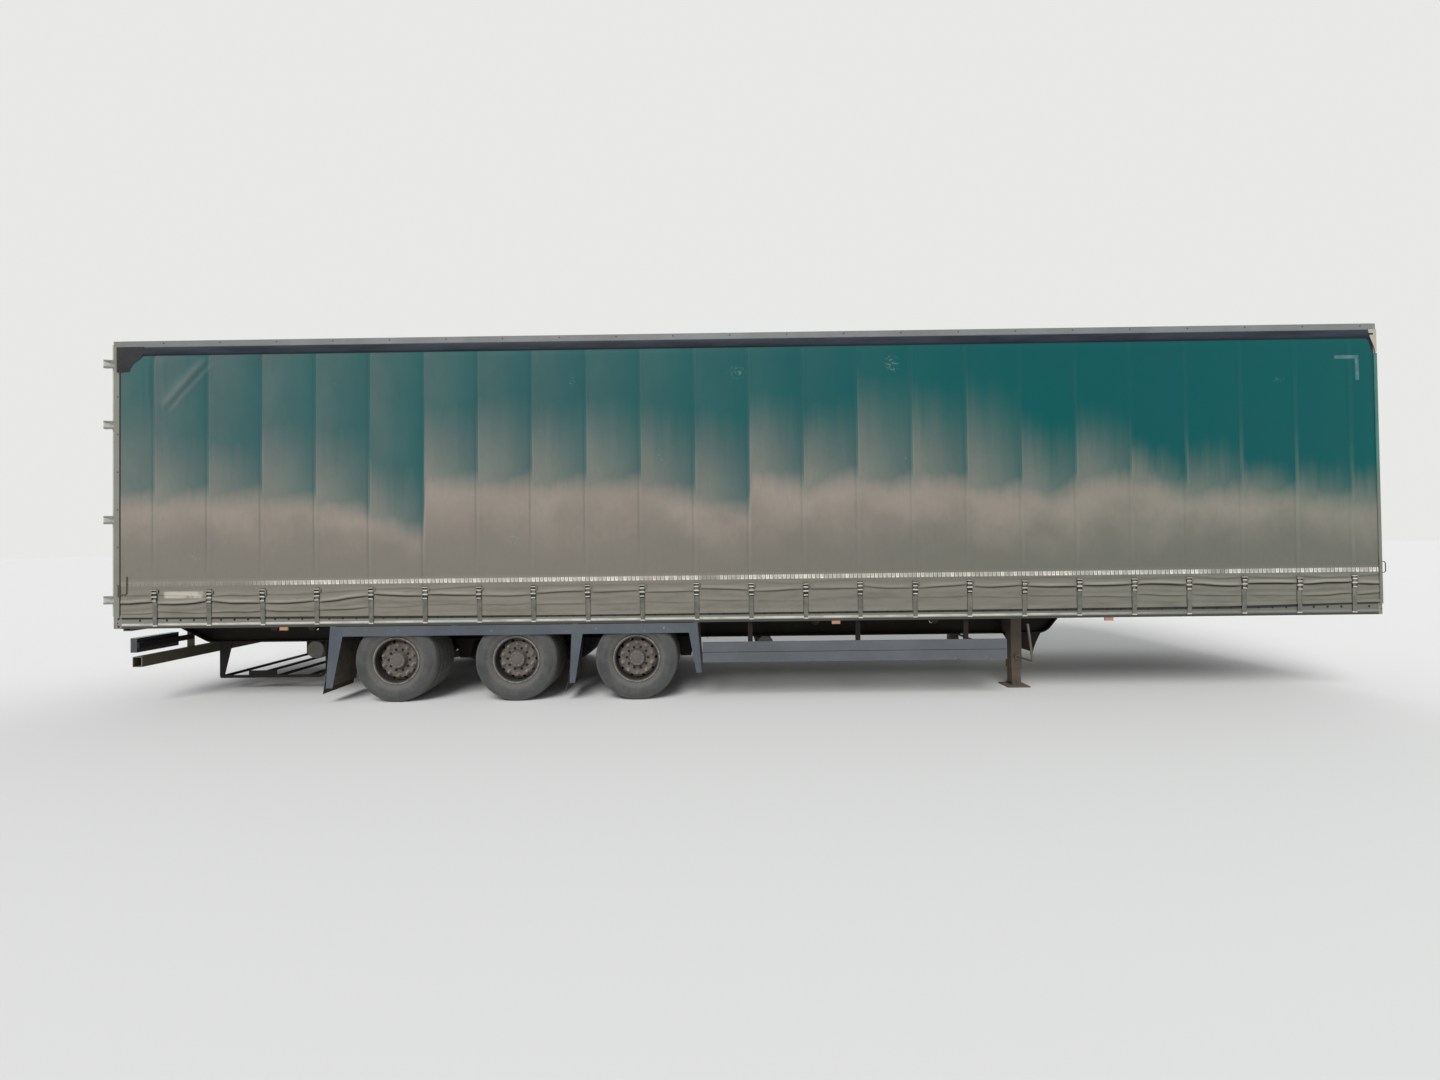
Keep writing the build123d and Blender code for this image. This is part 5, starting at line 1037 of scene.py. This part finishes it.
# Near black, as painted shade inside the disc's pockets and the rail's lashing holes
hole_shade_finish = Finish("painted_hole_shade", Base_Color=paint(30, 27, 24), Roughness=0.85)
nut_count, disc_o, cap_o, nut_circle, pocket_circle, cap_circle = 10, 0.130, 0.172, 0.1675, 0.1170, 0.0690
flange = [(0.0, 0.0235), (0.0035, 0.0225), (0.0055, 0.0185), (0.0055, 0.0)]
hexagon = [(0.0, 0.0185), (0.022, 0.0185), (0.025, 0.0160), (0.025, 0.0)]
stud = [(0.0, 0.0105), (0.034, 0.0105), (0.036, 0.0085), (0.036, 0.0)]
cup = [(0.0, 0.0150), (0.0035, 0.0145), (0.0045, 0.0125), (0.0015, 0.0110), (0.0015, 0.0)]
cap_bolt = [(0.0, 0.0062), (0.0040, 0.0058), (0.0050, 0.0040), (0.0050, 0.0)]
boss = [(0.0, 0.0480), (0.0030, 0.0465), (0.0042, 0.0400), (0.0042, 0.0)]


def on_circle(radius, turn, out):
    return (radius * math.cos(turn), out, radius * math.sin(turn))


for wheel, side, place in wheels:
    nuts, pockets, bosses = Batch(), Batch(), Batch()
    for k in range(nut_count):
        turn = 2 * math.pi * (k + 0.5) / nut_count
        where = on_circle(nut_circle, turn, side * disc_o)
        nuts.turned(flange, 14, side, where)
        nuts.turned(hexagon, 6, side, where, phase=turn + 0.2 * k)
        nuts.turned(stud, 10, side, where)
        turn = 2 * math.pi * k / nut_count
        pockets.turned(cup, 12, side, on_circle(pocket_circle, turn, side * disc_o))
        nuts.turned(cap_bolt, 8, side, on_circle(cap_circle, turn, side * cap_o))
    bosses.turned(boss, 32, side, (0.0, side * cap_o, 0.0))
    for kind, batch, finish in (("wheel_nuts", nuts, nut_finish), ("hub_boss", bosses, rim),
                                ("hub_pockets", pockets, hole_shade_finish)):
        batch.made(f"{kind}_{wheel}", finish, f"wheel_{wheel}", "rim_paint", place=place)

# %% [markdown]
# ## Small fastenings
# Dark screws hold the roof rail's cover about every six hundred millimetres, and rivets run down the corner
# posts. Each is a low dome. The side rail's lashing holes are shallow cups, near black as painted shade
# inside a hole, and they show only where the hem rises, towards both ends.

# %% Screws, rivets and lashing holes
screw_finish = weathered("dark_screws", (52, 50, 48), (70, 66, 60), metal=0.4, cling=0.3, chips=0.2,
                         grain=80.0)
dome = [(0.0, 0.0080), (0.0018, 0.0072), (0.0032, 0.0048), (0.0038, 0.0)]
rail_face_y, post_face_y, rail_screw_z, rear_rivet_x, front_rivet_x = 1.2582, 1.2562, 3.940, -6.755, 6.855
screws = Batch()
for side, side_name in sides:
    for x in np.linspace(-6.25, 6.70, 22):
        screws.turned(dome, 10, side, (x, side * rail_face_y, rail_screw_z))
    for x in (rear_rivet_x, front_rivet_x):
        for z in np.arange(0.90, 3.75, 0.41):
            screws.turned(dome, 10, side, (x, side * post_face_y, z))
screws.made("rail_screws", screw_finish, "chassis", "bare_steel")
lashing_cup = [(0.0002, 0.0125), (0.0012, 0.0122), (0.0014, 0.0108), (0.0006, 0.0100), (0.0006, 0.0)]
lashing_y, lashing_z, lashing_pitch = 1.2580, 0.925, 0.147
lashing = Batch()
for side, side_name in sides:
    for x in np.arange(-6.51, 6.75, lashing_pitch):
        lashing.turned(lashing_cup, 10, side, (x, side * lashing_y, lashing_z))
lashing.made("lashing_holes", hole_shade_finish, "chassis", "grey_steel")

# %% [markdown]
# ## Pipes across the frame
# The two main beams have round holes for the air and cable pipes that cross between them. Each pipe is a
# plain rubber-sleeved tube, so it is a short lathe from one beam's web to the other's.

# %% Run the cross pipes
beam_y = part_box("main_beams")[1].y
# Columns: distance in from the beam's outer edge, and radius
sleeve_end = ((0.012, 0.0), (0.012, 0.046), (0.030, 0.052), (0.055, 0.052), (0.062, 0.040))
sleeve = [(-beam_y + step, r) for step, r in sleeve_end]
sleeve += [(-o, r) for o, r in reversed(sleeve)]
pipe_xs, pipe_z = (-5.53, -5.08, 0.90, 2.30), 0.760
pipes = Batch()
for pipe_x in pipe_xs:
    pipes.turned(sleeve, 20, 1, (pipe_x, 0.0, pipe_z))
pipes.made("cross_pipes", finishes["black_rubber"], "chassis", "black_rubber")

# %% [markdown]
# ## Rubber seals on the rear doors
# Each leaf has a black rubber seal round its edge, and where the two leaves meet, the lips close the gap. A
# seal is a thin strip, so it is a box laid on the leaf's face. The hinge side is left free, because
# that edge folds back against the corner post.

# %% Lay the door seals
seal_w, seal_t, lip_reach, hinge_free = 0.022, 0.0025, 0.0052, 0.040
for side, side_name in sides:
    leaf_low, leaf_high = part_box(f"door_{side_name}")
    leaf_face = leaf_high.x - 0.025
    inner_y, outer_y = sorted((abs(leaf_low.y), abs(leaf_high.y)))
    outer_y -= hinge_free
    # Columns: from and to across the trailer, from and to in height
    strips = ((inner_y, outer_y, leaf_low.z, leaf_low.z + seal_w),
              (inner_y, outer_y, leaf_high.z - seal_w, leaf_high.z),
              (inner_y - lip_reach, inner_y + seal_w, leaf_low.z, leaf_high.z))
    seals = Batch()
    for near, far, low_z, high_z in strips:
        seals.box((leaf_face - seal_t, side * near, low_z), (leaf_face + 0.0005, side * far, high_z))
    seals.made(f"door_seal_{side_name}", finishes["black_rubber"], f"door_{side_name}", "black_rubber")

# %% [markdown]
# ## Couplings on the front wall
# The tractor's air and cable lines plug in low on the front wall: a red and a yellow air coupling, and three
# lidded sockets between them, on one steel board. They are round parts that face forwards, so the lathe's
# points are turned a quarter and stacked in front of the board.

# %% Fit the coupling board
def facing_forward(batch, profile, segments, x, y, z):
    """A half-section turned round the X axis, looking forwards."""
    points = [(x + out, y - across, z + height) for across, out, height in lathe(profile, segments, 1)]
    batch.grid(points, len(profile), segments, wrap_columns=True, flip=True)


wall_low, wall_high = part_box("front_wall")
board_back, board_z, board_t, board_half_w, board_half_h = wall_high.x, wall_low.z + 0.16, 0.004, 0.36, 0.075
board_face = board_back + board_t
board = Batch()
board.box((board_back - 0.001, -board_half_w, board_z - board_half_h),
          (board_face, board_half_w, board_z + board_half_h))
air_head = [(0.0, 0.020), (0.010, 0.020), (0.012, 0.034), (0.024, 0.036), (0.029, 0.031), (0.029, 0.014),
            (0.026, 0.012), (0.026, 0.0)]
socket = [(0.0, 0.034), (0.020, 0.034), (0.020, 0.038), (0.026, 0.038), (0.029, 0.034), (0.029, 0.0)]
for colour_name, colour, coupling_y in (("red", (156, 30, 24), 0.27), ("yellow", (206, 164, 36), -0.27)):
    head = Batch()
    facing_forward(head, air_head, 28, board_face, coupling_y, board_z)
    finish = weathered(f"coupling_{colour_name}", colour, colour, rough=0.45, cling=0.3, chips=0.3,
                       grain=50.0)
    head.made(f"air_coupling_{colour_name}", finish, "chassis", "cast_iron", sharp=40)
lid_half, lid_low, lid_high, lid_deep = 0.016, 0.033, 0.046, 0.027
sockets = Batch()
for socket_y in (-0.13, 0.0, 0.13):
    facing_forward(sockets, socket, 28, board_face, socket_y, board_z)
    sockets.box((board_face, socket_y - lid_half, board_z + lid_low),
                (board_face + lid_deep, socket_y + lid_half, board_z + lid_high))
board.made("coupling_board", finishes["frame_steel"], "chassis", "frame_steel")
sockets.made("cable_sockets", finishes["black_rubber"], "chassis", "black_rubber", sharp=40)
